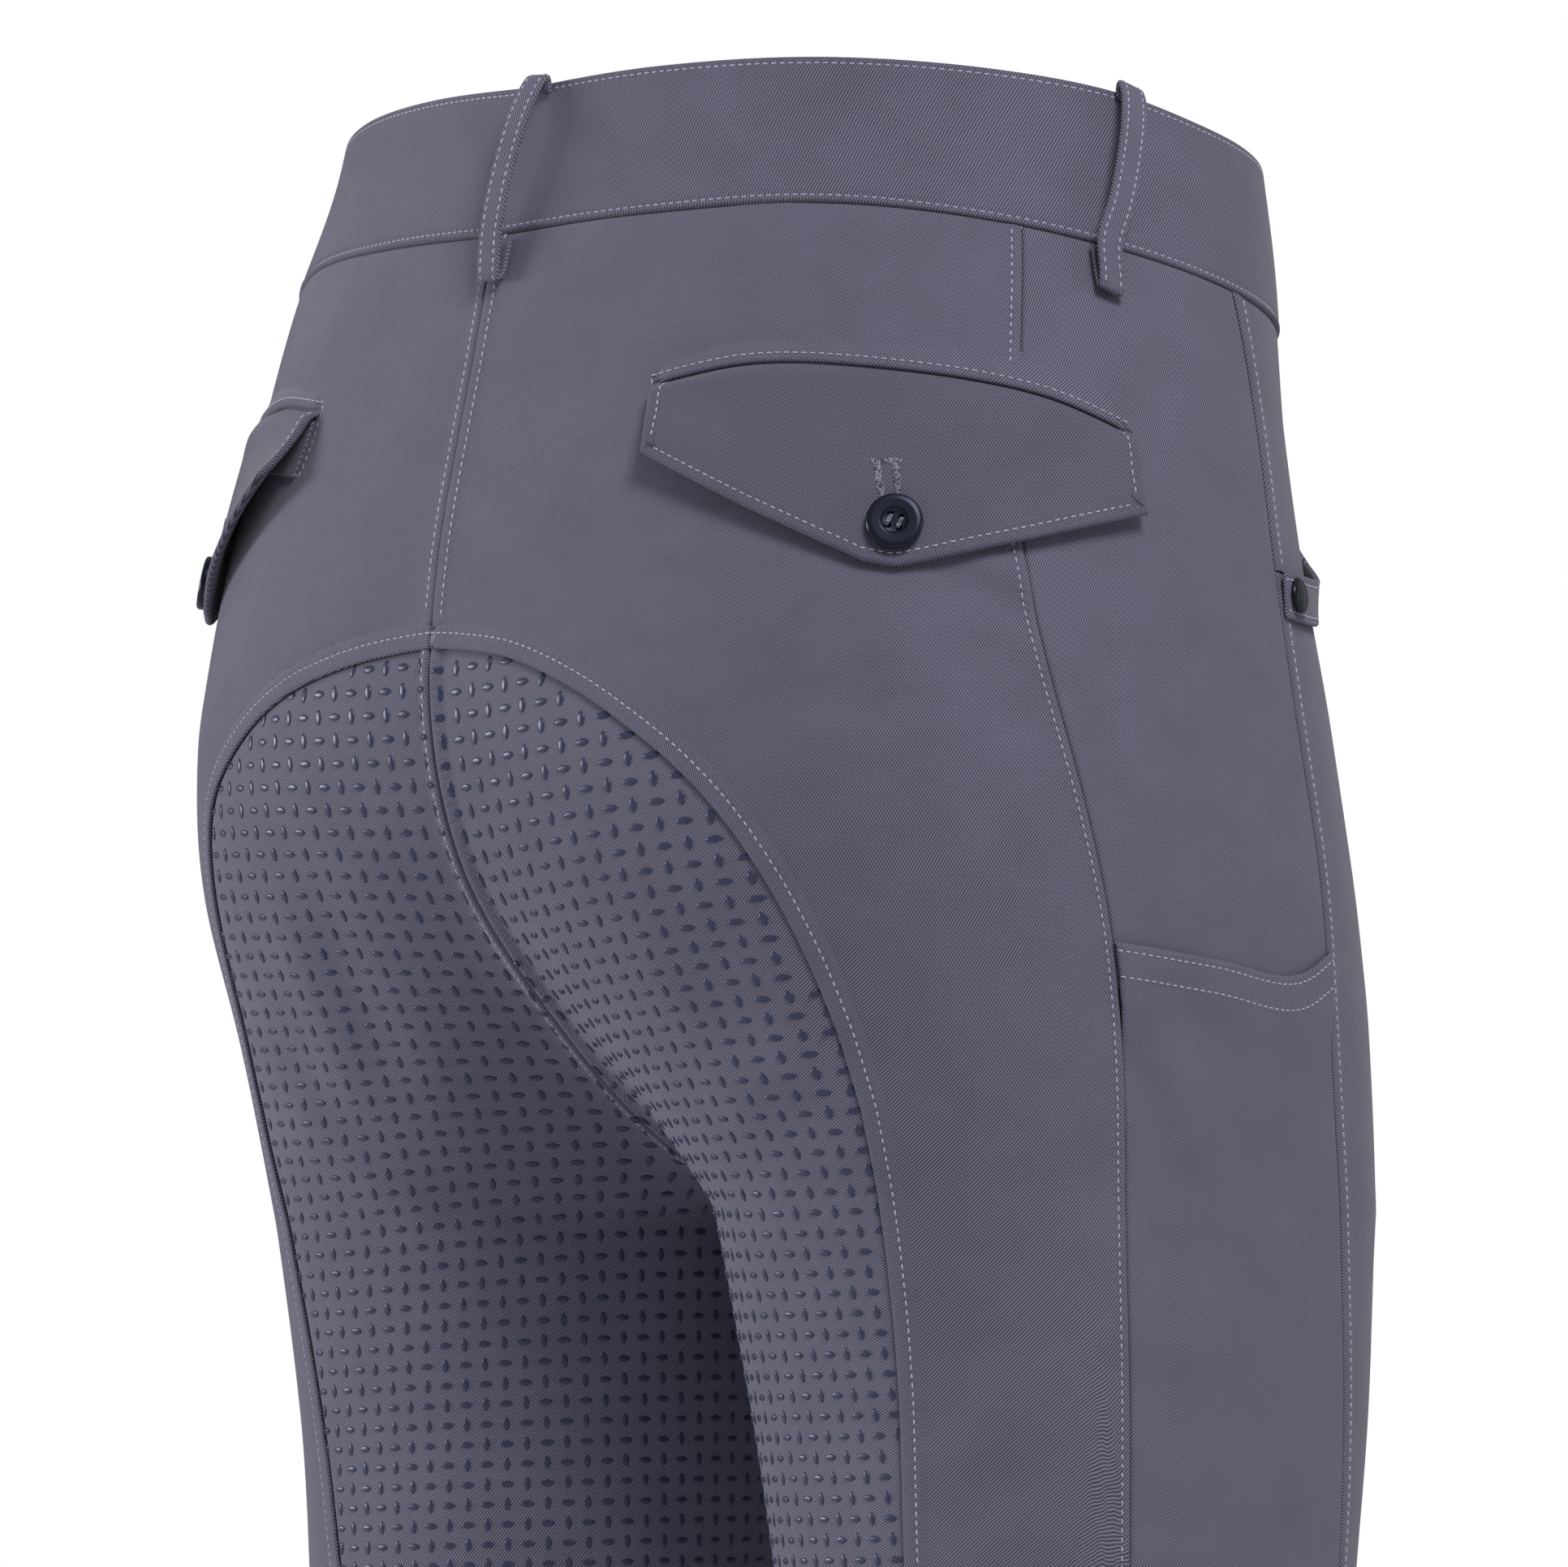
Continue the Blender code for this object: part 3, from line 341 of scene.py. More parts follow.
def redraw_both(sheet, row_step, step):
    """A grid redrawn down its columns and along its rows, and its distances from the left edge."""
    sheet, across = redraw(redraw(sheet, row_step)[0].swapaxes(0, 1), step)
    return sheet.swapaxes(0, 1), across.T


def as_panel(p, across, **more):
    """A panel: points `p` on the form, their normals `n`, their distances in from the four edges,
    and what else is given, such as the flat pattern as `uv`."""
    down = runs(p)
    return {"p": p, "n": outward(p), "left": across, "right": across[:, -1:] - across,
            "top": down, "bottom": down[-1:] - down, **more}


def lay_out(coarse, low=0, step=5.0, level=False, row_step=None):
    """A panel from a coarse grid, with its flat pattern as `cut`, and the same or drawn level as
    `uv`."""
    cut = flatten(coarse, low)
    sheet = np.concatenate([coarse, cut, draw_level(coarse, cut) if level else cut], -1)
    sheet, across = redraw_both(sheet, row_step or step, step)
    return as_panel(lay(sheet[..., :3]), across, cut=sheet[..., 3:5], uv=sheet[..., 5:])


def foot(p, a, b):
    """Where points lie along a straight piece: the share t of the way from a to b of each one's
    foot, kept in 0 to 1, and its distance |p - a - t (b - a)|."""
    t = np.clip(np.sum((p - a) * (b - a), -1) / np.sum((b - a) ** 2), 0, 1)
    return t, np.linalg.norm(p - a - t[..., None] * (b - a), axis=-1)


def far_from(p, line):
    """Distance of points from a polyline: the least of those from its pieces."""
    return np.min([foot(p, a, b)[1] for a, b in zip(line[:-1], line[1:])], axis=0)


def seam_edge(d, ridge=0.0, stitches=3.0, roll=0.9):
    """Height by an edge at distance d: -roll (1 - d/1.2)^2 where it turns under, plus the seam's
    allowance, `ridge` high to the stitches and gone 2.5 mm past them, less 0.2 under them."""
    return (-roll * np.clip(1 - d / 1.2, 0, 1) ** 2
            + ridge * (1 - ease((d - stitches + 0.3) / 2.5))
            - (0.2 * swell(d, stitches) if ridge else 0))


def crease(p, start, end, width, height):
    """A soft ridge, or a trough where height is below 0, between two (bearing, height) places:
    height exp(-(d / width)^2) sin(pi t)^0.8, with t along it from 0 to 1 and d the distance."""
    t, d = foot(p, on_form(*start), on_form(*end))
    return height * swell(d, 0, width) * np.sin(np.pi * t) ** 0.8


def unevenness(p, flip=1):
    """Slow swells of the worn cloth: four sine waves 60 to 140 mm long, 0.16 mm high each. They
    run on across the seams, so that neighbours keep level."""
    rng = np.random.default_rng(1)
    way = unit(rng.normal(size=(4, 3))) * 2 * np.pi / rng.uniform(60, 140, (4, 1))
    return 0.16 * np.sin((p * (flip, 1, 1)) @ way.T + rng.uniform(0, 6.28, 4)).sum(-1)


def srgb(code):
    """Linear RGBA of an sRGB hex colour: c/12.92 below 0.04045, else ((c+0.055)/1.055)^2.4."""
    c = np.array([int(code[i:i + 2], 16) / 255 for i in (1, 3, 5)])
    linear = np.where(c <= 0.04045, c / 12.92, ((c + 0.055) / 1.055) ** 2.4)
    return (*linear.tolist(), 1.0)


def feed(node, **inputs):
    """Sets a node's inputs, each to a value or, where (node, output) is given, to a link."""
    for key, value in inputs.items():
        socket = node.inputs[int(key[1:]) if key[0] == "_" else key.replace("_", " ")]
        if isinstance(value, tuple) and isinstance(value[0], bpy.types.Node):
            node.id_data.links.new(value[0].outputs[value[1]], socket)
        else:
            socket.default_value = value
    return node


def add_node(material, kind, settings=None, **inputs):
    """Adds a node. `settings` sets its properties."""
    node = material.node_tree.nodes.new(kind)
    for key, value in (settings or {}).items():
        setattr(node, key, value)
    return feed(node, **inputs)


def new_material(name):
    """A material with its Principled shader, which is returned too."""
    made = bpy.data.materials.new(name)
    made.use_nodes = True
    return made, made.node_tree.nodes["Principled BSDF"]


def noise(material, coordinates, scale, detail=2.0, **more):
    """Noise over coordinates given as (node, output)."""
    return add_node(material, "ShaderNodeTexNoise", Vector=coordinates, Scale=scale,
                    Detail=detail, **more), "Fac"


def bumps(material, height, distance, strength=1.0, **more):
    """A normal from a height, which is `distance` metres from 0 to 1."""
    return add_node(material, "ShaderNodeBump", Strength=strength, Distance=distance,
                    Height=height, **more), "Normal"


def two_tones(material, source, low, high):
    """A ramp between two stops, each (position, sRGB colour)."""
    ramp = add_node(material, "ShaderNodeValToRGB", Fac=source)
    for stop, (position, code) in zip(ramp.color_ramp.elements, (low, high)):
        stop.position, stop.color = position, srgb(code)
    return ramp, "Color"


def make_twill(name, dark, light, lean=50.0):
    """Stretch twill: fine diagonal ribs, drawn every 0.65 mm, the real ones being finer, on a
    mottled yarn. The ribs run up to the right at `lean` degrees from level, in the flat pattern.
    It is matt with a faint sheen, and puckers at every stitch beside a seam."""
    made, shader = new_material(name)

    def maths(operation, *values):
        return add_node(made, "ShaderNodeMath", {"operation": operation},
                        **{f"_{k}": value for k, value in enumerate(values)}), "Value"

    def mixed(share, a, b):
        return add_node(made, "ShaderNodeMix", {"data_type": "FLOAT"}, Factor=share, A=a,
                        B=b), "Result"

    cloth = add_node(made, "ShaderNodeUVMap", {"uv_map": "cloth"}), "UV"
    turned = add_node(made, "ShaderNodeMapping", Vector=cloth,
                      Rotation=(0, 0, math.radians(90 - lean)))
    ribs = add_node(made, "ShaderNodeTexWave", Vector=(turned, "Vector"), Scale=0.31416 / 0.65,
                    Distortion=0.9, Detail=2.0, Detail_Scale=2.2, Detail_Roughness=0.6)
    weave = mixed(0.36, (ribs, "Fac"), noise(made, cloth, 2.1, 3.0, Roughness=0.7))
    mottled = mixed(0.12, weave, noise(made, cloth, 0.05))
    seam = add_node(made, "ShaderNodeUVMap", {"uv_map": "seam"})
    split = add_node(made, "ShaderNodeSeparateXYZ", Vector=(seam, "UV"))
    wobble = maths("SINE", maths("MULTIPLY", (split, "X"), 2 * math.pi / 2.4))
    beside = add_node(made, "ShaderNodeMapRange", {"interpolation_type": "SMOOTHSTEP"},
                      Value=maths("ABSOLUTE", (split, "Y")), From_Min=0.0, From_Max=2.2,
                      To_Min=1.0, To_Max=0.0)
    pucker = bumps(made, maths("MULTIPLY", wobble, (beside, "Result")), 0.00009)
    feed(shader, Base_Color=two_tones(made, mottled, (0.18, dark), (0.8, light)),
         Normal=bumps(made, weave, 0.00008, Normal=pucker), Roughness=0.82, IOR=1.45,
         Specular_IOR_Level=0.25, Sheen_Weight=0.12, Sheen_Roughness=0.45)
    return made


def quads(shape):
    """Corner numbers of every cell of a grid, round each cell."""
    number = np.arange(shape[0] * shape[1]).reshape(shape)
    return np.stack([number[:-1, :-1], number[1:, :-1], number[1:, 1:], number[:-1, 1:]],
                    -1).reshape(-1, 4)


def facing(points, faces, normals, pick=None):
    """Faces whose corners go round so that they face along the normals, judged by one of them."""
    face = faces[len(faces) // 2 if pick is None else pick]
    a, b, _, d = points.reshape(-1, 3)[face]
    out = np.dot(np.cross(b - a, d - a), normals.reshape(-1, 3)[face[0]]) > 0
    return faces if out else faces[:, ::-1]


def add_mesh(name, points, faces, finish, maps=None, flip=1):
    """A smooth-shaded mesh of points in mm, with UV maps given point by point. Where flip is -1,
    it is mirrored with its faces and its cloth map."""
    faces = faces[:, ::-1] if flip < 0 else faces
    mesh = bpy.data.meshes.new(name)
    mesh.from_pydata((points.reshape(-1, 3) * (flip, 1, 1) * MM).tolist(), [],
                     faces if isinstance(faces, list) else faces.tolist())
    mesh.materials.append(finish)
    mesh.shade_smooth()
    corners = np.empty(len(mesh.loops), np.int32)
    mesh.loops.foreach_get("vertex_index", corners)
    for key, values in (maps or {}).items():
        values = values.reshape(-1, 2) * (flip if key == "cloth" else 1, 1)
        layer = mesh.uv_layers.new(name=key)
        layer.uv.foreach_set("vector", values[corners].astype(np.float32).ravel())
    body = bpy.data.objects.new(name, mesh)
    bpy.context.scene.collection.objects.link(body)
    return body


def thicken(body, thick=CLOTH):
    """Gives a sheet its thickness, inwards."""
    shell = body.modifiers.new("cloth thickness", "SOLIDIFY")
    shell.thickness, shell.offset = thick * MM, -1.0


def dress(piece, slot, *nodes):
    """Rides a finished piece on the garment's one body, in the place of its CAD nodes."""
    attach(piece, "root")
    if nodes:
        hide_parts(*nodes)


def seam_map(panel, rows):
    """For each point, (length along, distance from) the nearest of its stitch rows, which are
    given as (edge, distance)."""
    best = np.full(panel["top"].shape, 99.0)
    run = np.zeros_like(best)
    for edge, at in rows:
        off = panel[edge] - at
        nearer = np.abs(off) < np.abs(best)
        length = panel["left"] if edge in ("top", "bottom") else panel["top"]
        best, run = np.where(nearer, off, best), np.where(nearer, length, run)
    return np.stack([run, best], -1)


twill = make_twill("slate_stretch_twill", "#312f3a", "#76748a")


def add_panel(name, panels, folds, rows=(), finish=twill, slot="twill"):
    """The two panels of a kind, right and left, each a shell CLOTH thick. Each stands above the
    form by its `edges`, the cloth's unevenness and its creases, whose strength and table `folds`
    gives for each side. Returns each one's points, before the left is mirrored."""
    shaped = []
    for (side, flip), panel, (strength, creases) in zip(SIDES, panels, folds):
        faces = quads(panel["p"].shape[:2])
        if "arch" in panel:
            faces = faces[~(panel["arch"].ravel() < FOLD_COVERS)[faces].any(1)]
        height = (panel["edges"] + unevenness(panel["p"], flip)
                  + strength * sum(crease(panel["p"], *row) for row in creases))
        p = panel["p"] + panel["n"] * height[..., None]
        body = add_mesh(f"{name}_{side}_cloth", p, facing(p, faces, panel["n"]), finish,
                        {"cloth": panel.get("weave", panel["cut"]), "seam": seam_map(panel, rows)},
                        flip)
        thicken(body)
        dress(body, slot, f"{name}_{side}")
        shaped.append(p)
    return shaped


REAR_TOP, REAR_BEARING = meet_band(REAR_SIDE)
ARCH_TOP = centre_line(band_point(180, 2), np.array([0, 20, -400.0]), 400)
ARCH_TOP = ARCH_TOP[np.argmin(np.abs(ARCH_TOP[:, 2] - SEAT_ARCH[0][0]))]
back_seam = centre_line(band_point(180, 2), ARCH_TOP, 24)


def arch_seam(table, seat_steps=24, leg_steps=36):
    """Seat patch's outer seam: across the seat from the centre back, then down behind the leg."""
    station = np.arange(len(table))
    fine = np.linspace(0, len(table) - 1, 400)
    height, bearing = (smooth(np.stack([station, values], 1), 1, fine)
                       for values in np.array(table, float).T)
    points = on_form(bearing, height)
    points[0] = ARCH_TOP
    seat = np.searchsorted(-height, -SEAT_SIDE_END)
    return np.concatenate([along(points[:seat + 1], seat_steps),
                           along(points[seat:], leg_steps)[1:]])


def back_edges(back):
    """Relief by a back panel's edges. The inner one is the centre-back seam as far as the arch,
    and then the panel goes under its own folded edge, 0.6 mm down in the last 4 mm."""
    return (seam_edge(back["row"], 0.5, CENTRE_STITCH, 0)
            - 0.6 * (1 - ease((back["arch"] - 4) / 3))
            - 0.55 * np.clip(1 - back["centre"] / 0.9, 0, 1) ** 2
            + seam_edge(back["right"], 0.45, REAR_STITCH)
            + seam_edge(back["top"], 0, roll=0.8) + seam_edge(back["bottom"], 0.4, HEM_STITCH))


seat_seams = [lay(arch_seam(table)) for table in (SEAT_ARCH, SEAT_ARCH_LEFT)]
rear_seam = down_seam(REAR_SIDE, np.concatenate([np.linspace(REAR_TOP, PHONE_TOP, 40),
                                                 leg_heights(PHONE_TOP, 45, 1.15)[1:]]))
backs = []
for seam, shift in zip(seat_seams, (0.8, -0.6)):    # the centre row's shift from the middle
    back = lay_out(net(band_point(np.linspace(180, REAR_BEARING, 22), 2),
                       on_form(np.linspace(165, 116, 22), HEM_HEIGHT),
                       np.concatenate([back_seam, seam[1:]]), rear_seam, 0), row_step=4.0)
    back["centre"], back["arch"] = far_from(back["p"], back_seam), far_from(back["p"], seam)
    back["row"] = back["centre"] - shift
    back["edges"] = back_edges(back)
    backs.append(back)
# Creases: (start, end, width, height), where a place is (bearing, height)
back_shapes = add_panel("back", backs, [(1.5, (
    ((148, -75), (152, -45), 9, 0.35), ((152, -72), (158, -42), 7, -0.3),
    ((168, -138), (150, -142), 8, 0.35), ((158, -150), (135, -165), 12, -0.35),
    ((127, -126), (117, -142), 5, -0.9), ((122, -124), (112, -138), 5, 0.8),
    ((132, -126), (133, -165), 8, 0.7), ((150, -260), (128, -245), 16, 0.35),
    ((154, -78), (158, -60), 4, 0.5), ((156.5, -82), (161, -58), 4, -0.5))), (1.5, (
        ((146, -70), (150, -42), 8, 0.35), ((158, -66), (163, -38), 9, -0.3),
        ((152, -150), (135, -160), 12, 0.4), ((124, -130), (117, -142), 6, 0.5),
        ((145, -270), (126, -250), 15, -0.35)))],
    [("row", CENTRE_STITCH), ("arch", PATCH_STITCH), ("right", REAR_STITCH)])

# Topstitching: lilac-grey polyester thread, a stitch every 2.4 mm, lying in the dent it pulls.
STITCH_PITCH, STITCH_LENGTH, STITCH_RADIUS = 2.4, 1.75, 0.24
STITCH_CORNERS, STITCH_RING, STITCH_DIP = 5, 0.62, 0.22


def make_thread(name, scale, low, high, roughness, sheen=0.0):
    """Thread, its fibres drawn by fine noise in the object's own coordinates."""
    made, shader = new_material(name)
    fibres = noise(made, (add_node(made, "ShaderNodeTexCoord"), "Object"), scale)
    feed(shader, Base_Color=two_tones(made, fibres, low, high), Roughness=roughness,
         Sheen_Weight=sheen)
    return made


thread = make_thread("polyester_thread", 2500.0, (0.3, "#8b889e"), (0.7, "#b3b1c6"), 0.5, 0.2)


def line_at(points, distance, at):
    """Where `distance`, which grows or falls along each row of a grid, is `at`: a point for each
    row that comes so near."""
    return np.array([at_runs(at, *((d, p) if d[0] <= d[-1] else (d[::-1], p[::-1])))
                     for p, d in zip(points, distance) if d.min() <= at])


def edge_line(panel, points, edge, at, start=0.0):
    """A line at a distance in from one of a panel's edges, from a length along it on."""
    if edge in ("top", "bottom"):
        line = line_at(points.swapaxes(0, 1), panel[edge].T, at)
    else:
        line = line_at(points, panel[edge], at)
    return line[run_along(line) >= start]


def set_at(shape, place, x, y, z):
    """A copy of a shape's points at each place, along the three axes given for it."""
    return (place[:, None] + shape[:, :1] * x[:, None] + shape[:, 1:2] * y[:, None]
            + shape[:, 2:] * z[:, None])


def stitch_row(line, normals=None, pitch=STITCH_PITCH, length=STITCH_LENGTH):
    """Stitches along a line, `pitch` apart: two rings of corners at 0.62 of its half length, and a
    tip at each end, which dips into the cloth. Each has its own axes, t along the line, n out and
    b = n x t."""
    run = run_along(line)
    at = np.arange(pitch / 2, run[-1] - pitch / 2, pitch)
    centre = at_runs(at, run, line)
    t = unit(at_runs(at + length / 2, run, line) - centre)
    n = outward(centre) if normals is None else unit(at_runs(at, run, normals))
    b = unit(np.cross(n, t))
    half = length / 2
    angle = np.tile(np.linspace(0, 2 * np.pi, STITCH_CORNERS, endpoint=False), 2)
    rings = np.stack([np.repeat((-STITCH_RING, STITCH_RING), STITCH_CORNERS) * half,
                      STITCH_RADIUS * np.cos(angle), STITCH_RADIUS * np.sin(angle) + 0.04], -1)
    shape = np.concatenate([[(-half, 0, -STITCH_DIP)], rings, [(half, 0, -STITCH_DIP)]])
    return set_at(shape, centre, t, b, np.cross(t, b)).reshape(-1, 3)


def sew(panel, points, *rows):
    """Stitch rows along a panel's edges, each (edge, distance) or (edge, distance, start)."""
    return [stitch_row(edge_line(panel, points, *row)) for row in rows]


def add_stitches(name, rows, flip=1, finish=thread):
    """One mesh of all the stitches of a seam or a piece, of twelve points each."""
    points = np.concatenate(rows)
    k = np.arange(STITCH_CORNERS)
    after = (k + 1) % STITCH_CORNERS
    one = np.concatenate([np.stack(corners, -1) for corners in (
        (0 * k, 1 + after, 1 + k), (1 + k, 1 + after, 6 + after), (1 + k, 6 + after, 6 + k),
        (6 + k, 6 + after, 0 * k + 11))])
    faces = (one[None] + 12 * np.arange(len(points) // 12)[:, None, None]).reshape(-1, 3)
    dress(add_mesh(name, points, faces, finish, flip=flip), "thread")


# The edge folded over the patch, in section: (distance from the seam, height)
FOLD = np.array([(0.9, -0.5), (0.25, -0.42), (0, -0.2), (-0.03, 0.1), (0.07, 0.38), (0.3, 0.58),
                 (0.7, 0.68), (1.4, 0.7), (2.4, 0.66), (3.4, 0.6), (3.9, 0.5), (4.3, 0.4),
                 (4.7, 0.48), (5.2, 0.46), (6, 0.3), (7, 0.05), (8.4, -0.35), (10.6, -0.8)])
FOLD_LAPS = 0.35            # it lies this far over the patch
FOLD_TOP = 8                # a point of the section that faces out


def folded_edge(side, flip, back, seam):
    """The fold: its section carried along the seam, each point laid out from there square to the
    seam. Returns its stitch line."""
    seam = seam[seam[:, 2] > HEM_HEIGHT + 0.5]
    run = run_along(seam)
    at = np.concatenate([[0, 0.3, 0.6, 0.9, 1.4, 2], np.arange(3, run[-1], 3.4), run[-1:]])
    k = np.arange(len(at))

    def heading(line, apart):
        """From the point `apart` before each one to the point `apart` past it."""
        return line[np.minimum(k + apart, len(at) - 1)] - line[np.maximum(k - apart, 0)]

    line = lay(at_runs(at, run, seam))
    away = unit(np.cross(outward(line), unit(heading(line, np.where(k > 8, 3, 1)))))
    away[0, 0] = 0
    out = FOLD[:, 0] - FOLD_LAPS
    p = lay(line[:, None] + away[:, None] * out[None, :, None])
    groove = 0.5 * np.clip(1 - np.abs(p[..., 0]) / 0.9, 0, 1) ** 2     # at the centre back
    height = FOLD[:, 1] + unevenness(p, flip) - groove
    points = p + outward(p) * height[..., None]
    # the same in the back panel's flat pattern, down its inner edge from the top of the arch
    first = int(np.argmax(back["arch"][:, 0] < 0.2))
    edge_run = runs(back["p"][first:, :1])[:, 0] + np.linalg.norm(back["p"][first, 0] - seam[0])
    flat = at_runs(at, edge_run, back["cut"][first:, 0])
    turn = heading(flat, 9)
    turn = unit(np.stack([-turn[:, 1], turn[:, 0]], -1))
    pick = len(at) // 2 * (len(FOLD) - 1) + FOLD_TOP
    faces = facing(points, quads(p.shape[:2]), outward(p), pick)
    body = add_mesh(f"arch_fold_{side}_cloth", points, faces, twill, {
        "cloth": flat[:, None] + turn[:, None] * out[None, :, None],
        "seam": np.stack(np.broadcast_arrays(at[:, None], FOLD[None, :, 0] - PATCH_STITCH), -1)},
        flip)
    thicken(body, CLOTH / 2)
    dress(body, "twill")
    return points[:, int(np.argmin(np.abs(FOLD[:, 0] - PATCH_STITCH)))]


for (side, flip), back, seam, p in zip(SIDES, backs, seat_seams, back_shapes):
    arch_row = folded_edge(side, flip, back, seam)
    centre_row = edge_line(back, p, "row", CENTRE_STITCH)
    add_stitches(f"stitches_back_{side}",
                 [stitch_row(centre_row[centre_row[:, 2] > ARCH_TOP[2] + 6]), stitch_row(arch_row),
                  *sew(back, p, ("right", REAR_STITCH, 1.0), ("bottom", HEM_STITCH))], flip)

# ---- seat patches ------------------------------------------------------------------------------
# A full seat of the same twill wraps the seat and the inner leg down to the hem. Its outside is
# screen-printed with small pointed ovals of glossy silicone, turned this way and that by turns,
# which grip the saddle.
INNER_FRONT = [(-276, 304), (-300, 303), (-340, 304), (-440, 308), (-600, 312), (-720, 310),
               (-935, 304)]
CROTCH_FRONT = leave(MIDDLE, unit(np.array([0, -0.46, -1])), REACH)
CENTRE_RIDGE = 2.3          # the ridge's stitches, from the centre seam
WEAVE_TURN = (30, 13)       # how far the ribs turn down, right and left patch
crotch_seam = centre_line(ARCH_TOP, CROTCH_FRONT, 30)
inner_seam = down_seam(INNER_FRONT, leg_heights(CROTCH_FRONT[2], 60, 1.35))
inner_seam[0] = CROTCH_FRONT
patches = []
for seam, turn in zip(seat_seams, np.radians(WEAVE_TURN)):
    patch = lay_out(net(crotch_seam, on_form(np.linspace(165, 304, 31), HEM_HEIGHT), seam,
                        inner_seam, 90, rounds=20), 90, level=True)
    patch["weave"] = patch["cut"] @ np.array([(math.cos(turn), math.sin(turn)),
                                              (-math.sin(turn), math.cos(turn))])
    # it goes under the back panel, and is ridged at the centre
    patch["edges"] = (
        seam_edge(patch["left"], 0, roll=0.4) - 0.5 * swell(patch["left"], 0, 3)
        + seam_edge(patch["top"], 0.9, CENTRE_RIDGE, 1.5) + seam_edge(patch["right"], 0.3, 3.0)
        - 0.35 * swell(patch["top"], 5.2, 1.2) + seam_edge(patch["bottom"], 0.4, HEM_STITCH))
    patches.append(patch)
patch_shapes = add_panel("seat_patch", patches, [(1.0, (
    ((176, -200), (188, -245), 9, 0.8), ((170, -215), (180, -262), 9, -0.8),
    ((190, -262), (168, -256), 10, 1.0), ((195, -280), (170, -272), 9, -0.9),
    ((205, -300), (175, -296), 12, 0.8))), (1.0, (
        ((178, -190), (196, -262), 9, -1.5), ((172, -200), (188, -268), 9, 1.1),
        ((166, -238), (192, -272), 9, -1.1), ((168, -258), (200, -290), 10, 1.0),
        ((175, -290), (205, -310), 11, -0.9)))],
    [("top", CENTRE_RIDGE)], make_twill("slate_grip_twill", "#33313c", "#79778d", 46.0),
    "grip_twill")

# Screen-printed silicone: dark navy, glossy, nearly flat with rounded edges that glint.
silicone, shader = new_material("silicone_print")
skin = noise(silicone, (add_node(silicone, "ShaderNodeTexCoord"), "Object"), 900.0)
feed(shader, Base_Color=srgb("#35384f"), Specular_Tint=srgb("#ced6f2"), Roughness=0.34, IOR=1.41,
     Normal=bumps(silicone, skin, 0.00012, 0.35))
OVAL_LONG, OVAL_WIDE, OVAL_HIGH, OVAL_SIDES = 3.9, 1.95, 0.34, 8
# An oval's rings: (share of its size, share of its height); its last point is the middle
OVAL_RINGS = ((1.0, -0.5), (0.9, 0.6), (0.68, 0.95))
PITCH = 5.45                # from oval to oval, in the flat pattern
PRINT_INSET = 0.9           # it stops this far short of the patch's edges
PRINT_END = -780.0          # height where the print stops, at the top of the calf


def sample(grid, at):
    """Value of a grid at fractional row and column numbers, bilinear, and its two slopes."""
    i = np.minimum(at[:, 0].astype(int), grid.shape[0] - 2)
    j = np.minimum(at[:, 1].astype(int), grid.shape[1] - 2)
    s, t = (at[:, 0] - i)[:, None], (at[:, 1] - j)[:, None]
    a, b, c, d = grid[i, j], grid[i + 1, j], grid[i, j + 1], grid[i + 1, j + 1]
    return ((a * (1 - s) + b * s) * (1 - t) + (c * (1 - s) + d * s) * t,
            (b - a) * (1 - t) + (d - c) * t, (c - a) * (1 - s) + (d - b) * s)


def place_on(uv, spots):
    """Finds flat-pattern places on a grid: from the nearest grid point, four Newton steps with the
    pattern's own slopes. Returns fractional row and column numbers, and which lie inside."""
    rows, columns = uv.shape[:2]
    everywhere = uv.reshape(-1, 2)
    nearest = np.concatenate([np.argmin(((part[:, None] - everywhere[None]) ** 2).sum(-1), 1)
                              for part in np.array_split(spots, len(spots) // 200 + 1)])
    at = np.stack([nearest // columns, nearest % columns], -1).astype(float)
    for _ in range(4):
        value, by_row, by_column = sample(uv, at)
        miss = spots - value
        det = by_row[:, 0] * by_column[:, 1] - by_row[:, 1] * by_column[:, 0]
        step = np.stack([(miss[:, 0] * by_column[:, 1] - miss[:, 1] * by_column[:, 0]) / det,
                         (by_row[:, 0] * miss[:, 1] - by_row[:, 1] * miss[:, 0]) / det], -1)
        at = np.clip(at + np.clip(step, -2, 2), 0, (rows - 1, columns - 1))
    return at, np.linalg.norm(spots - sample(uv, at)[0], axis=-1) < 0.3


def oval_shape():
    """Pointed oval, a lens in plan: at angle a, x = cos a, y = sin a (1 - 0.25 cos^2 a)."""
    a = np.linspace(0, 2 * np.pi, OVAL_SIDES, endpoint=False)
    ring = np.stack([np.cos(a) * OVAL_LONG / 2,
                     np.sin(a) * (1 - 0.25 * np.cos(a) ** 2) * OVAL_WIDE / 2], -1)
    points = [np.column_stack([ring * size, np.full(OVAL_SIDES, high * OVAL_HIGH)])
              for size, high in OVAL_RINGS]
    return np.concatenate(points + [[[0, 0, OVAL_HIGH]]])


def oval_faces(count):
    """Faces of `count` ovals: a fan at the top, and a belt between each ring and the next."""
    n, top = OVAL_SIDES, len(OVAL_RINGS) * OVAL_SIDES
    k = np.arange(n)
    after = (k + 1) % n
    one = [np.stack([top - n + k, top - n + after, 0 * k + top], -1)]
    for low in range(0, top - n, n):
        one += [np.stack([low + k, low + after, low + n + after], -1),
                np.stack([low + k, low + n + after, low + n + k], -1)]
    return (np.concatenate(one)[None]
            + (top + 1) * np.arange(count)[:, None, None]).reshape(-1, 3)


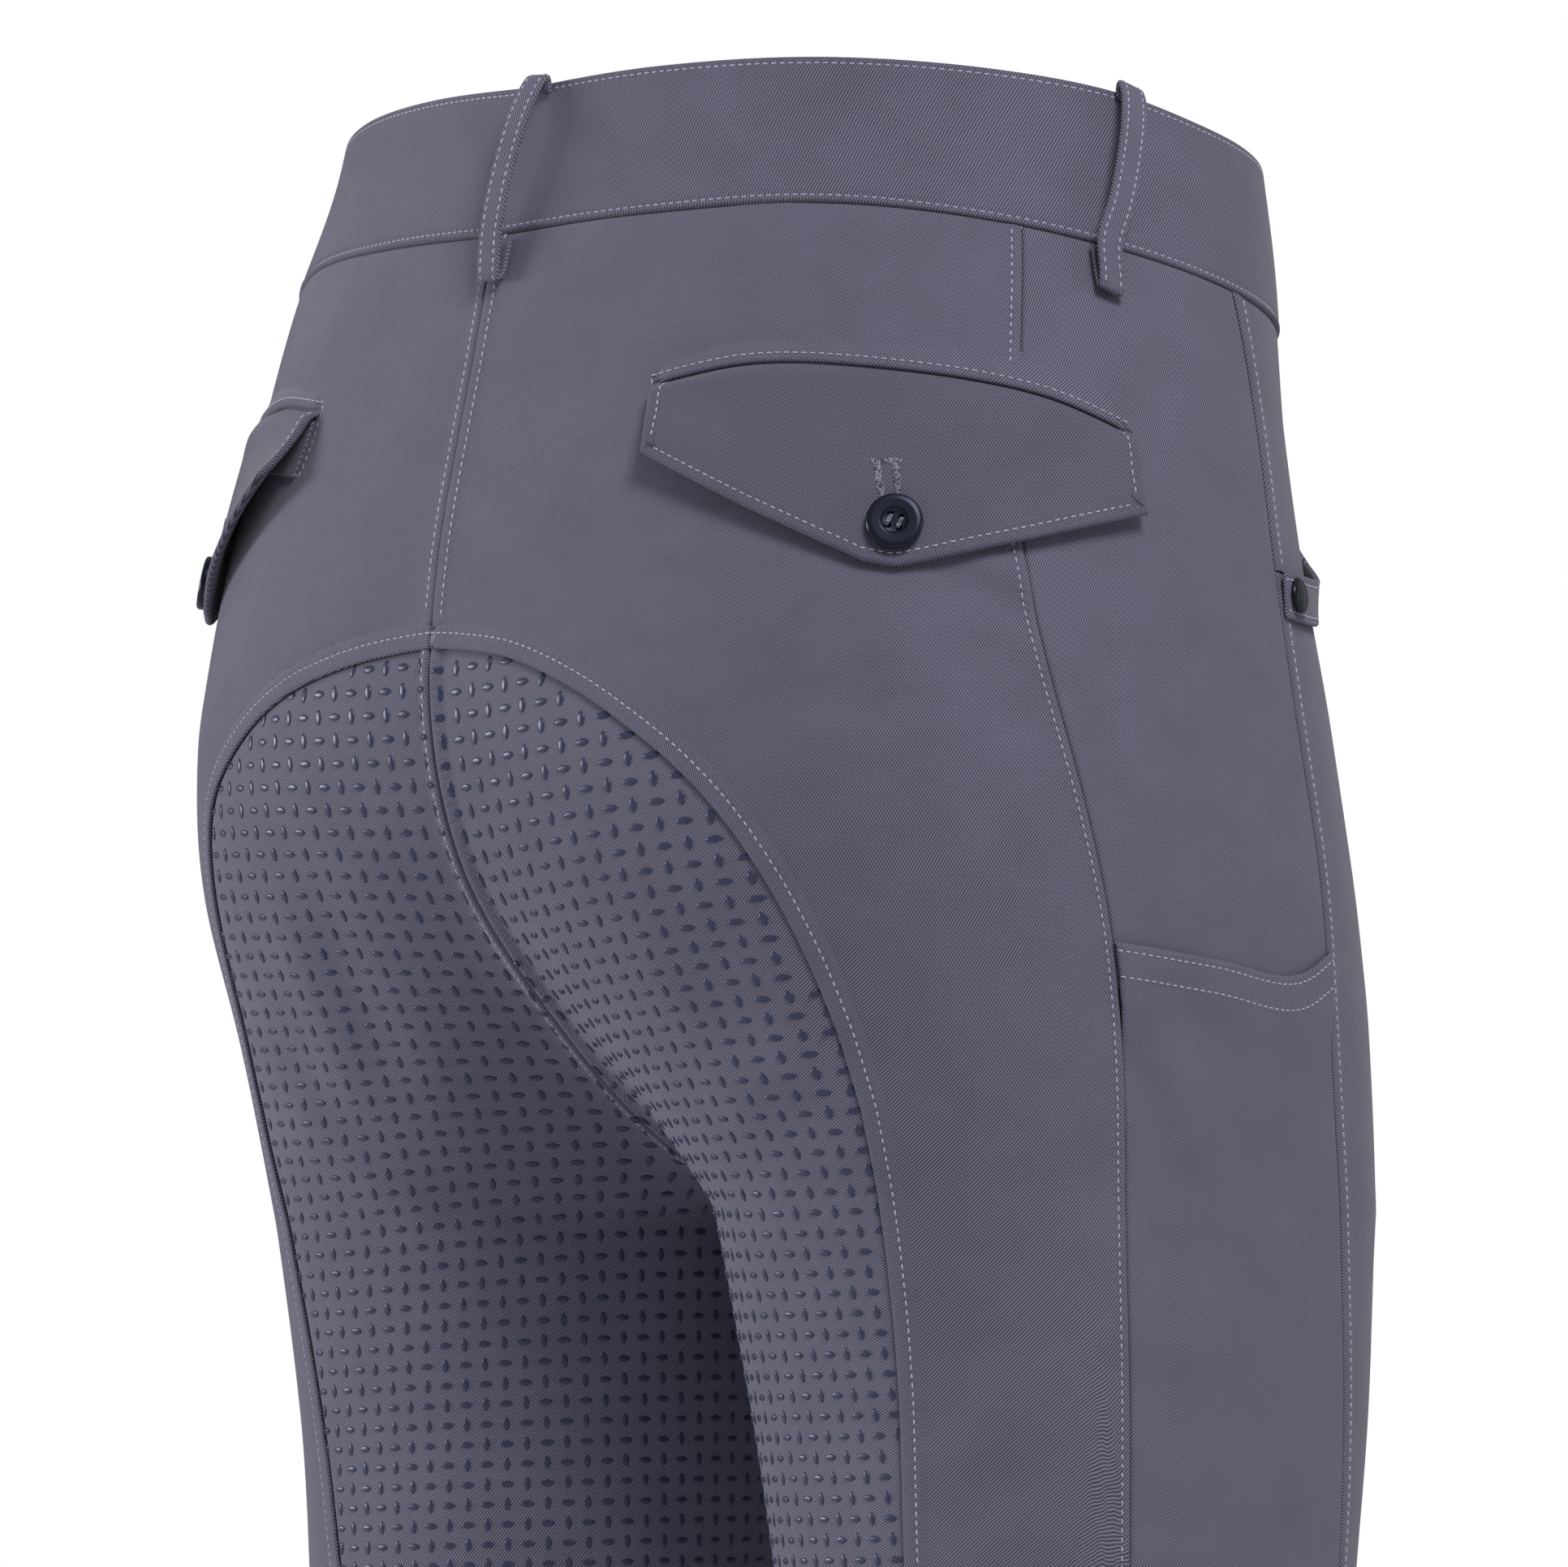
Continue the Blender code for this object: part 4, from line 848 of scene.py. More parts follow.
def add_print(side, flip, panel, points):
    """Ovals on a square lattice of PITCH in the flat pattern, level and upright by turns."""
    first, last = (ends // PITCH for ends in (panel["uv"].min((0, 1)), panel["uv"].max((0, 1))))
    i, j = np.meshgrid(*(np.arange(a, b + 1) for a, b in zip(first, last)))
    upright = (i + j).ravel() % 2 == (0 if flip > 0 else 1)
    at, inside = place_on(panel["uv"], np.stack([i, j], -1).reshape(-1, 2) * PITCH)
    inset = np.min([sample(panel[key][..., None], at)[0][:, 0]
                    for key in ("left", "right", "top", "bottom")], axis=0)
    keep = inside & (inset > PRINT_INSET) & (sample(points, at)[0][:, 2] > PRINT_END)
    at, upright = at[keep], upright[keep, None]
    spot, by_row, by_column = sample(points, at)
    _, u_row, u_column = sample(panel["uv"], at)
    det = (u_row[:, 0] * u_column[:, 1] - u_row[:, 1] * u_column[:, 0])[:, None]
    along_u = (by_row * u_column[:, 1:] - by_column * u_row[:, 1:]) / det
    along_v = (by_column * u_row[:, :1] - by_row * u_column[:, :1]) / det
    p = set_at(oval_shape(), spot, np.where(upright, along_v, along_u),
               np.where(upright, -along_u, along_v), unit(np.cross(along_u, along_v)))
    dress(add_mesh(f"grip_print_{side}", p, oval_faces(len(p)), silicone, flip=flip), "grip_print")


for (side, flip), patch, p in zip(SIDES, patches, patch_shapes):
    add_print(side, flip, patch, p)
    rows = [("bottom", HEM_STITCH), ("top", CENTRE_RIDGE)]      # one side has the ridge's row
    add_stitches(f"stitches_seat_{side}", sew(patch, p, *rows[:1 if side == "right" else 2]), flip)

# ---- side panels -------------------------------------------------------------------------------
# The side panel is cut in two. The lower piece's hemmed top edge is the mouth of the phone pocket,
# with two rows of stitches, and the upper piece runs on down behind it.
FRONT_SIDE = [(-48, 86.5), (-79, 84), (-126, 80), (-154, 77), (-197, 71), (-229, 66.5), (-272, 62),
              (-350, 61), (-386, 60), (-600, 61), (-720, 63), (-935, 65)]
# Phone pocket's mouth: (share of the way forward, height)
PHONE_MOUTH = [(0, PHONE_TOP), (0.35, -228), (0.8, -230), (1, -223)]
TUCK, LAP_GAP = 12.0, 0.4   # how far the upper piece runs on, and the gap between two pieces
MOUTH_ROWS = (2.3, 9.3)     # stitches below the mouth
# Front pocket's mouth: (bearing, drop below the band's seam)
SCOOP = [(48, 3), (49.5, 28), (54, 50), (61, 63), (70, 69), (80.3, 72)]
FRONT_TOP, FRONT_BEARING = meet_band(FRONT_SIDE)


def scoop_height(bearing):
    """Height of the front pocket's mouth."""
    return smooth(BAND, 2, bearing) - smooth(SCOOP, 1, bearing)


SCOOP_END = float(scoop_height(SCOOP[-1][0]))
side_seam = down_seam(FRONT_SIDE, np.concatenate([
    np.linspace(FRONT_TOP, SCOOP_END, 10), np.linspace(SCOOP_END, PHONE_MOUTH[-1][1], 31)[1:],
    leg_heights(PHONE_MOUTH[-1][1], 45, 1.15)[1:]]))


def phone_line(drop=0.0):
    """The phone pocket's mouth, or a line `drop` below it, across the side panel."""
    forward = np.linspace(0, 1, 16)
    z = smooth(PHONE_MOUTH, 1, forward) - drop
    bearing = smooth(REAR_SIDE, 1, z) * (1 - forward) + smooth(FRONT_SIDE, 1, z) * forward
    return on_form(bearing, z)


upper = net(band_point(np.linspace(REAR_BEARING, FRONT_BEARING, 16), 2), phone_line(),
            rear_seam[:40], side_seam[:40], 0)
upper = lay_out(np.concatenate([upper, *(phone_line(TUCK * k / 3)[None] for k in (1, 2, 3))]))
upper["edges"] = (seam_edge(upper["left"], 0) + seam_edge(upper["right"], 0)
                  + seam_edge(upper["top"], 0, roll=0.8))
folds = (((99, -62), (107, -82), 7, 0.4), ((97, -70), (104, -95), 7, -0.35),
         ((84, -200), (86, -160), 7, 0.5), ((88, -205), (91, -170), 7, -0.45),
         ((103, -110), (106, -135), 8, -0.3), ((101.5, -58), (103.5, -102), 5, 0.5),
         ((98, -56), (98.5, -94), 5, -0.5), ((93, -60), (90, -110), 8, 0.4),
         ((96, -120), (101, -175), 9, 0.45), ((105, -125), (108, -170), 6, -0.4))
add_panel("side_upper", (upper, upper), [(1.5, folds), (1.2, folds)])

lower = lay_out(net(phone_line(), on_form(np.linspace(116, 65, 16), HEM_HEIGHT), rear_seam[39:],
                    side_seam[39:], 0))
lift = (CLOTH + LAP_GAP + 0.1) * (1 - ease((lower["top"] - TUCK) / 14))
lower["edges"] = (seam_edge(lower["left"], 0) + seam_edge(lower["right"], 0)
                  + seam_edge(lower["top"], 0.35, MOUTH_ROWS[1], 0.7)
                  - 0.2 * swell(lower["top"], MOUTH_ROWS[0])
                  + seam_edge(lower["bottom"], 0.4, HEM_STITCH) + lift)
folds = (((118, -238), (106, -268), 7, 1.1), ((119, -247), (110, -280), 6, -0.9),
         ((112, -236), (97, -254), 8, -0.7), ((113, -262), (104, -290), 8, 0.5))
rows = [("top", at) for at in MOUTH_ROWS]
lower_shapes = add_panel("side_lower", (lower, lower), [(1.5, folds), (1.2, folds)], rows)
for (side, flip), p in zip(SIDES, lower_shapes):
    add_stitches(f"stitches_side_{side}", sew(lower, p, *rows, ("bottom", HEM_STITCH)), flip)

# ---- fronts, pockets and fly -------------------------------------------------------------------
# The fronts run from the waist to the hem. Each is cut away at the hip for a slanted pocket, whose
# mouth is a stitched band with a snap at its back end, and the hip piece shows inside it. The
# right front carries the fly piece, stitched in the usual J.
SCOOP_START = float(SCOOP[0][0])
FRONT_STITCH, HIP_STITCH = 3.4, 4.2
BAND_COLUMNS = 13           # the front's columns from the centre to the pocket
front_seam = centre_line(CROTCH_FRONT, band_point(0, 2), 15)[::-1]
bearing = np.linspace(SCOOP_START, SCOOP[-1][0], 60)
mouth = lay(along(on_form(bearing, scoop_height(bearing)), 15))
mouth[-1] = side_seam[9]
front_net = net(np.concatenate([band_point(np.linspace(0, SCOOP_START, BAND_COLUMNS), 2), mouth]),
                on_form(np.linspace(304 - 360, 65, 29), HEM_HEIGHT),
                np.concatenate([front_seam, inner_seam[1:]]), side_seam[9:], -180)
front = lay_out(front_net, -180)
front["edges"] = (seam_edge(front["left"], 0.3, 3.0) + seam_edge(front["right"], 0.5, FRONT_STITCH)
                  + seam_edge(front["top"], 0, roll=0.8)
                  + seam_edge(front["bottom"], 0.4, HEM_STITCH))
folds = (((8, -215), (40, -185), 11, 0.6), ((6, -228), (38, -206), 11, -0.5),
         ((10, -245), (42, -232), 12, 0.5), ((348, -330), (20, -318), 14, 0.4),
         ((30, -100), (55, -150), 14, 0.35))
front_shapes = add_panel("front", (front, front), [(1.0, folds), (0.85, folds)],
                         [("right", FRONT_STITCH)])

hip_top = band_point(np.linspace(SCOOP_START, FRONT_BEARING, 16), 2)
hip = lay_out(net(hip_top, mouth, np.linspace(hip_top[0], mouth[0], 10), side_seam[:10], -180,
                  rounds=4), -180, 4.0)
hip["edges"] = seam_edge(hip["right"], 0.6, HIP_STITCH) + seam_edge(hip["top"], 0, roll=0.8)
hip_shapes = add_panel("hip_underlay", (hip, hip), [(0, ()), (0, ())], [("right", HIP_STITCH)])
for (side, flip), p in zip(SIDES, hip_shapes):
    add_stitches(f"stitches_hip_{side}", sew(hip, p, ("right", HIP_STITCH, 1.0)), flip)


def nearest_edge(panel):
    """Distance of a panel's points from the nearest of its four edges."""
    return np.min([panel[key] for key in ("left", "right", "top", "bottom")], axis=0)


def turned_out(node, panel, face, thick, seam, finish=twill, flip=1):
    """Two layers turned out, in the place of a CAD node: with q = 1 - min(d / r, 1) at a distance
    d from the edge, r = thick/2, both sides stand thick/2 sqrt(1 - q^2) from the middle, which is
    thick/2 below the face. Returns its face."""
    q = 1 - np.clip(nearest_edge(panel) / (thick / 2), 0, 1)
    half = thick / 2 * np.sqrt(1 - q * q)
    out, under = (panel["p"] + panel["n"] * (face - thick / 2 + way * half)[..., None]
                  for way in (1, -1))
    number = np.arange(half.size).reshape(half.shape)
    second = number + half.size
    rim = np.ones(half.shape, bool)
    rim[1:-1, 1:-1] = False
    second[rim] = number[rim]
    outer = quads(half.shape)
    faces = np.concatenate([outer, second.ravel()[outer[:, ::-1]]])
    points = np.concatenate([out.reshape(-1, 3), under.reshape(-1, 3)])
    used, faces = np.unique(facing(points, faces, panel["n"], len(outer) // 2),
                            return_inverse=True)
    maps = {key: np.concatenate([values.reshape(-1, 2)] * 2)[used]
            for key, values in (("cloth", panel["uv"]), ("seam", seam))}
    body = add_mesh(node + "_cloth", points[used], faces.reshape(-1, 4), finish, maps, flip)
    dress(body, "twill", node)
    return out


POCKET_BAND_WIDTH, POCKET_BAND_THICK, LIP_GAPE, LYING_GAP = 13.0, 1.4, 2.4, 0.45
BAND_ROWS = (2.2, 10.4)     # stitches below the pocket's mouth
depth = front_net[:, BAND_COLUMNS:]
wanted = np.linspace(0.5, POCKET_BAND_WIDTH, 8)
pocket_band = lay_out(np.stack([at_runs(wanted, run, column) for run, column in zip(
    runs(depth).T, depth.swapaxes(0, 1))], 1), -180, 3.0)
share = np.linspace(0.08, 1, pocket_band["p"].shape[1])[None, :]
down = np.clip(pocket_band["top"] / POCKET_BAND_WIDTH, 0, 1)
gape = LIP_GAPE * np.sin(np.pi * share ** 1.6 * 0.86) * (1 - down) ** 1.5
dents = sum(0.18 * swell(pocket_band["top"], at) for at in BAND_ROWS)
rows = [("top", at) for at in BAND_ROWS]
for (side, flip), shape in zip(SIDES, front_shapes):
    outer = turned_out(f"pocket_band_{side}", pocket_band,
                       LYING_GAP + POCKET_BAND_THICK + gape - dents, POCKET_BAND_THICK,
                       seam_map(pocket_band, rows), flip=flip)
    add_stitches(f"stitches_front_{side}", [
        *sew(pocket_band, outer, *[(*row, 1) for row in rows]),
        *sew(front, shape, ("right", FRONT_STITCH, 1.0), ("bottom", HEM_STITCH))], flip)

# Fly piece: on the right front, its outer edge curving in to the centre seam. It is drawn in
# shares of the front's rows and columns.
FLY_GAP, FLY_STITCH = 1.5, 3.0
fly_down = np.linspace(0.02, 2.5, 50)
round_off = np.clip((fly_down / fly_down[-1] - 0.7) / 0.3, 0, 1)
fly_reach = 1.45 * (0.1 + 0.9 * np.sqrt(1 - round_off ** 2))
across = np.linspace(0, 1, 14)[None] * (fly_reach[:, None] - 0.03) + 0.03
fly_rows = []
for row, reach in zip(np.clip(fly_down * 3, 0, len(front_net) - 1.001), across * 3):
    line = front_net[int(row)] * (1 - row % 1) + front_net[int(row) + 1] * (row % 1)
    fly_rows.append(at_runs(reach, np.arange(len(line)), line))
fly = lay_out(lay(np.array(fly_rows)), -180, 4.0)
outer = turned_out("fly", fly, FLY_GAP + CLOTH - 0.15 * swell(fly["right"], FLY_STITCH), CLOTH,
                   seam_map(fly, [("right", FLY_STITCH)]))
add_stitches("stitches_fly", sew(fly, outer, ("right", FLY_STITCH)))

# ---- waistband ---------------------------------------------------------------------------------
# One contoured band of two layers with a stiff interlining. It is turned out and edge-stitched
# along its top and along its seam, and its upper end buttons over the under end at the front.
BAND_THICK, BAND_PROUD, BAND_OVERLAP, OVER_END = 2.6, 0.6, 12.0, 40.0
TOP_ROW, SEAM_ROW, END_ROW = 2.1, 2.0, 3.0
ring = np.linspace(-BAND_OVERLAP, 360 + BAND_OVERLAP, 300)
around = np.abs(np.where(ring > 180, 360 - ring, ring))
share = np.linspace(0, 1, 10)[:, None]
band_grid = on_form(around[None, :] + 0 * share,
                    (1 - share) * smooth(BAND, 1, around) + share * smooth(BAND, 2, around))
on_left = (ring < 0) | ((ring > 180) & (ring < 360))
band_grid[..., 0] *= np.where(on_left, -1, 1)
band_flat = np.stack([-runs(band_grid.swapaxes(0, 1)).T, -runs(band_grid)], -1)
rise = np.clip((OVER_END - ring) / (OVER_END - BAND_OVERLAP), 0, 1)     # over the under end
sheet, across = redraw_both(np.concatenate([
    band_grid, band_flat, np.broadcast_to(rise[None, :, None], (len(share), len(ring), 1))], -1),
    4.0, 3.0)
waist = as_panel(lay(sheet[..., :3]), across, uv=sheet[..., 3:5])
dents = (0.25 * swell(waist["top"], TOP_ROW) + 0.45 * swell(waist["bottom"], SEAM_ROW, 0.5)
         - 0.3 * swell(waist["bottom"], 0.9, 0.5))
waves = 0.25 * np.sin(waist["left"] / 23 + 1.2 * np.sin(waist["left"] / 61)) * np.sin(
    np.pi * np.clip(waist["top"] / 46, 0, 1))
face = BAND_PROUD + (BAND_THICK + LAP_GAP) * ease(sheet[..., 5]) - dents + waves
band_face = turned_out(
    "waistband", waist, face, BAND_THICK,
    seam_map(waist, [("top", TOP_ROW), ("bottom", SEAM_ROW)]),
    make_twill("slate_band_twill", "#312f3a", "#737187", lean=48.0))
lines = [edge_line(waist, band_face, *row) for row in (
    ("top", TOP_ROW), ("bottom", SEAM_ROW), ("left", END_ROW), ("right", END_ROW))]
add_stitches("stitches_waistband", [stitch_row(line, outward(line)) for line in lines])

# ---- belt loops --------------------------------------------------------------------------------
# Five folded strips of twill, 8 mm wide, stitched along both edges. Each starts inside the band's
# top edge, bows out over the band and is tucked back under itself below the seam.
LOOP_THICK, LOOP_CUT, LOOP_STITCH = 1.5, 10.0, 1.5
# The loop's run: (share of the way down the band, drop further on, how far out from the form)
LOOP_RUN = np.array([
    (0, 3.0, 1.9), (0, 0.4, 2.2), (0, -1.2, 3.6), (0.06, 0, 5.8), (0.25, 0, 8.0), (0.5, 0, 8.5),
    (0.75, 0, 8.0), (1, 0, 6.4), (1, 9, 4.6), (1, 12.4, 3.6), (1, 12.6, 2.4), (1, 10, 1.6),
    (1, 2, 1.5)])
LOOP_EDGE = np.array([0, 0.08, 0.2, 0.4, 0.75, 1.2, 1.6, 2.2, 3, 4])   # lines across half a loop
LOOP_SEWN = slice(6, 72)    # the part of its run that shows
loop_twill = make_twill("slate_loop_twill", "#33313c", "#757389", lean=125.0)


def rounded(points, steps):
    """A Catmull-Rom curve through points, at even shares."""
    at = np.linspace(0, len(points) - 1, steps)
    i = np.minimum(at.astype(int), len(points) - 2)
    t = (at - i)[:, None]
    p1, p2 = points[i], points[i + 1]
    p0 = np.where(i[:, None] > 0, points[np.maximum(i - 1, 0)], 2 * p1 - p2)
    p3 = np.where(i[:, None] < len(points) - 2, points[np.minimum(i + 2, len(points) - 1)],
                  2 * p2 - p1)
    return (p1 + t / 2 * (p2 - p0) + t * t * (p0 - 2.5 * p1 + 2 * p2 - p3 / 2)
            + t ** 3 / 2 * (3 * p1 - p0 - 3 * p2 + p3))


def add_loop(name, bearings, flip=1):
    """A strip along the loop's run, between its bearings at the band's top and at its seam, its
    edges rolled."""
    share = LOOP_RUN[:, 0]
    bearing = bearings[0] + (bearings[1] - bearings[0]) * share
    top, bottom = (smooth(BAND, column, bearing) for column in (1, 2))
    base = on_form(bearing, top + (bottom - top) * share - LOOP_RUN[:, 1])
    flat_out = unit(outward(base) * (1, 1, 0))
    path = rounded(base + flat_out * LOOP_RUN[:, 2:], 90)
    wide = unit(np.cross(base[2] - base[7], flat_out[len(LOOP_RUN) // 2]))
    offset = np.concatenate([LOOP_EDGE - 4, 4 - LOOP_EDGE[-2::-1]])
    face = unit(np.cross(unit(np.gradient(path, axis=0)), wide))
    grid = path[:, None] + wide * offset[None, :, None]
    run = run_along(path)
    level, down = np.broadcast_arrays(offset[None], -run[:, None])
    inset = 4 - np.abs(level)
    loop = as_panel(grid, level + 4, n=np.broadcast_to(face[:, None], grid.shape),
                    uv=np.stack([level * flip, down], -1))
    height = (LOOP_THICK / 2 - 0.15 * swell(inset, LOOP_STITCH, 0.45)
              - 0.12 * np.clip(1 - inset / LOOP_STITCH, 0, 1))
    outer = turned_out(name, loop, height, LOOP_THICK,
                       np.stack([down, inset - LOOP_STITCH], -1), loop_twill, flip)
    columns = [int(np.argmin(np.abs(offset - at))) for at in (LOOP_STITCH - 4, 4 - LOOP_STITCH)]
    add_stitches("stitches_" + name, [stitch_row(outer[LOOP_SEWN, j], face[LOOP_SEWN])
                                      for j in columns], flip)


add_loop("loop_back", (176.4, 178.0))
for side, flip in SIDES:
    add_loop(f"loop_side_{side}", (97.8, 104.3), flip)
    add_loop(f"loop_front_{side}", (38.0, 38.0), flip)

# ---- back pocket flaps and welts ---------------------------------------------------------------
# Each back pocket's slit is framed by a narrow welt, sewn flat, and closed by a pointed flap of
# two layers, topstitched 3.4 mm inside its edges, with a worked buttonhole. The panel's edge above
# the slit is folded and stitched down.
FLAP_THICK, WELT_THICK, WELT_HEIGHT = 2.2, 0.9, 18.0
LYING_OFF = LYING_GAP + WELT_THICK + 0.4    # gap, welt and gap below the flap's seat
# Top edge, inner end to outer end: (share of its length, bearing, height)
FLAP_TOP = [(0, 151.8, -76.5), (0.25, 140, -72.5), (0.5, 128, -74.5), (0.8, 112, -82),
            (1, 103.2, -91)]
# Lower edge, coming to a blunt point: (share of its length, bearing, height)
FLAP_LOW = np.array([
    (0, 152.7, -98.5), (0.25, 142.5, -114), (0.44, 132.5, -128), (0.5, 129.6, -129.5),
    (0.56, 126.5, -128), (0.75, 116, -122), (1, 103, -113.5)])
# How much further off that edge stands, the button holding its point down: (share, distance)
FLAP_OFF = [(0, 8.9), (0.25, 4), (0.5, -0.6), (0.75, 2), (1, 3.5)]
# The two pockets: (side, 1 or -1 for the mirrored side, turn in bearing, rise, share of FLAP_OFF)
POCKETS = [("right", 1, 0, 0, 0.5), ("left", -1, -1.4, 4.6, 1.0)]
FLAP_ROW = 3.4              # topstitching, from the flap's edges
FLAP_FRAME = 1.9            # stitches on the panel, this far outside the flap
SLIT_ROLL = 2.2             # the flap rolls out of its slit over about this much
# The folded edge in section: (distance up from the slit, height)
SLIT_FOLD = np.array([(0.3, 0.1), (-0.35, 0.25), (-0.5, 0.8), (-0.2, 1.35), (0.5, 1.6), (1.5, 1.5),
                      (2.7, 1.2), (4.2, 0.75), (6.5, 0.25), (11, -0.5)])
# The flaps are cut from the same slate twill as the panels. This copy is painted darker, as
# painted shade on the flaps.
flap_twill_painted_shade = make_twill("slate_flap_twill", "#2d2b36", "#6e6c81")


def above_flap(s, up, turn, rise):
    """Points of the form at shares along the flap's top edge, `up` above it."""
    return on_form(smooth(FLAP_TOP, 1, s) + turn + 0 * up, smooth(FLAP_TOP, 2, s) + rise + up)


def flap_at(u, v, turn, rise, off):
    """Points of the form under the flap at shares along and down it, and its face's height."""
    low_bearing, low_height = (np.interp(u, FLAP_LOW[:, 0], FLAP_LOW[:, k]) for k in (1, 2))
    bearing = (1 - v) * smooth(FLAP_TOP, 1, u) + v * low_bearing + turn
    height = (1 - v) * smooth(FLAP_TOP, 2, u) + v * low_height + rise
    return (on_form(bearing, height),
            LYING_OFF + FLAP_THICK + off * smooth(FLAP_OFF, 1, u) * np.maximum(v, 0) ** 1.5)


def frame_line(turn, rise):
    """Stitch line round the pocket: across below its slit, up beside the flap's inner end and over
    the flap's top. It climbs 1.25 mm on to the folded edge."""
    _, bearing, height = FLAP_TOP[0]
    below = above_flap(np.linspace(0.9, 0, 60), -WELT_HEIGHT, turn, rise)
    inner = on_form(bearing + 0.4 + turn,
                    height + rise - np.linspace(WELT_HEIGHT, -FLAP_FRAME, 14))
    line = np.concatenate([below, inner[1:],
                           above_flap(np.linspace(0, 1, 80), FLAP_FRAME, turn, rise)[1:]])
    climb = np.clip((np.arange(len(line)) - 70) / 6, 0, 1)
    return line + outward(line) * (0.25 + 1.25 * climb)[:, None]


for side, flip, turn, rise, off in POCKETS:
    u, v = np.meshgrid(np.linspace(0, 1, 49), np.linspace(0, 1, 13))
    spots = flap_at(u, v, turn, rise, off)[0]
    sheet, across = redraw_both(np.concatenate([spots, flatten(spots), u[..., None], v[..., None]],
                                               -1), 2.0, 2.0)
    base, face = flap_at(sheet[..., 5], sheet[..., 6], turn, rise, off)
    flap = as_panel(base, across, uv=sheet[..., 3:5])
    sewn = np.stack([flap[key] for key in ("left", "right", "bottom")], -1)
    flap_edge = sewn.min(-1)
    length = np.where(np.argmin(sewn, -1) == 2, flap["left"], flap["top"])
    pad = 0.25 * swell(flap_edge, 1.6, 1.2) * np.clip(flap["top"] / 4, 0, 1)
    slit = (LYING_OFF + FLAP_THICK) * swell(flap["top"], 0, SLIT_ROLL)
    outer = turned_out(
        f"flap_{side}", flap, face - 0.2 * swell(flap_edge, FLAP_ROW) + pad - slit, FLAP_THICK,
        np.stack([length, flap_edge - FLAP_ROW], -1), flap_twill_painted_shade, flip)
    rows = []
    for edge in ("left", "right", "bottom"):
        line = edge_line(flap, np.concatenate([outer, sewn], -1), edge, FLAP_ROW)
        rows.append(stitch_row(line[line[:, 3:].min(1) > FLAP_ROW - 0.1, :3]))
    add_stitches(f"stitches_flap_{side}", [*rows, stitch_row(frame_line(turn, rise))], flip)

    s = np.linspace(-0.01, 1.01, 90)[None]
    lip = above_flap(s, SLIT_FOLD[:, :1], turn, rise)
    end = np.sin(np.pi * np.clip(np.minimum(s + 0.01, 1.01 - s) / 0.06, 0, 1) / 2)
    flat = np.stack([runs(lip.swapaxes(0, 1)).T, SLIT_FOLD[:, :1] + 0 * s], -1)
    points = lip + outward(lip) * ((SLIT_FOLD[:, 1:] + 0.5) * end - 0.5)[..., None]
    body = add_mesh(f"slit_edge_{side}_cloth", points, quads(lip.shape[:2])[:, ::-1], twill, {
        "cloth": flat, "seam": flat - (0, FLAP_FRAME)}, flip)
    thicken(body)
    dress(body, "twill")

    u, v = np.meshgrid(np.linspace(0.01, 0.97, 60), np.linspace(0, 1, 10))
    welt = lay_out(above_flap(u, -3 - (WELT_HEIGHT - 2) * v, turn, rise), 0, 4.0)
    turned_out(f"welt_{side}", welt, LYING_GAP + WELT_THICK, WELT_THICK,
               seam_map(welt, []), flip=flip)

# ---- buttons and snaps -------------------------------------------------------------------------
# Four-hole 15 mm buttons of polished polyester resin with a rolled rim are sewn to the flaps'
# points and to the band, crosswise in pairs. A 10 mm cap snap holds each front pocket's band.
BUTTON_RADIUS, SNAP_RADIUS, HOLE_AT, HOLE, BUTTON_SPIN = 7.5, 5.0, 1.5, 0.72, -16
# Profiles: (share of the radius, height)
BUTTON_PROFILE = [(0, 0), (0.9, 0), (0.97, 0.15), (1, 0.6), (1, 1.5), (0.985, 1.95), (0.95, 2.25),
                  (0.89, 2.42), (0.78, 2.5), (0.52, 2.46), (0.475, 2.34), (0.445, 2.0),
                  (0.41, 1.8), (0.3, 1.72), (0, 1.7)]
SNAP_PROFILE = [(0, 0), (0.95, 0), (1, 0.3), (0.98, 0.8), (0.9, 1.25), (0.8, 1.5), (0.74, 1.52),
                (0.68, 1.42), (0.5, 1.6), (0, 1.75)]
resin, shader = new_material("polished_resin")
cloudy = noise(resin, (add_node(resin, "ShaderNodeTexCoord"), "Object"), 160.0)
feed(shader, Base_Color=srgb("#12141e"), Specular_Tint=srgb("#b9c2e4"), Roughness=0.26, IOR=1.45,
     Normal=bumps(resin, cloudy, 0.0001, 0.15))
# Buttonholes and the buttons' sewing: slate thread, darker than the topstitching.
slate_thread = make_thread("slate_buttonhole_thread", 1300.0, (0.38, "#3b3947"),
                           (0.66, "#9c99af"), 0.6)


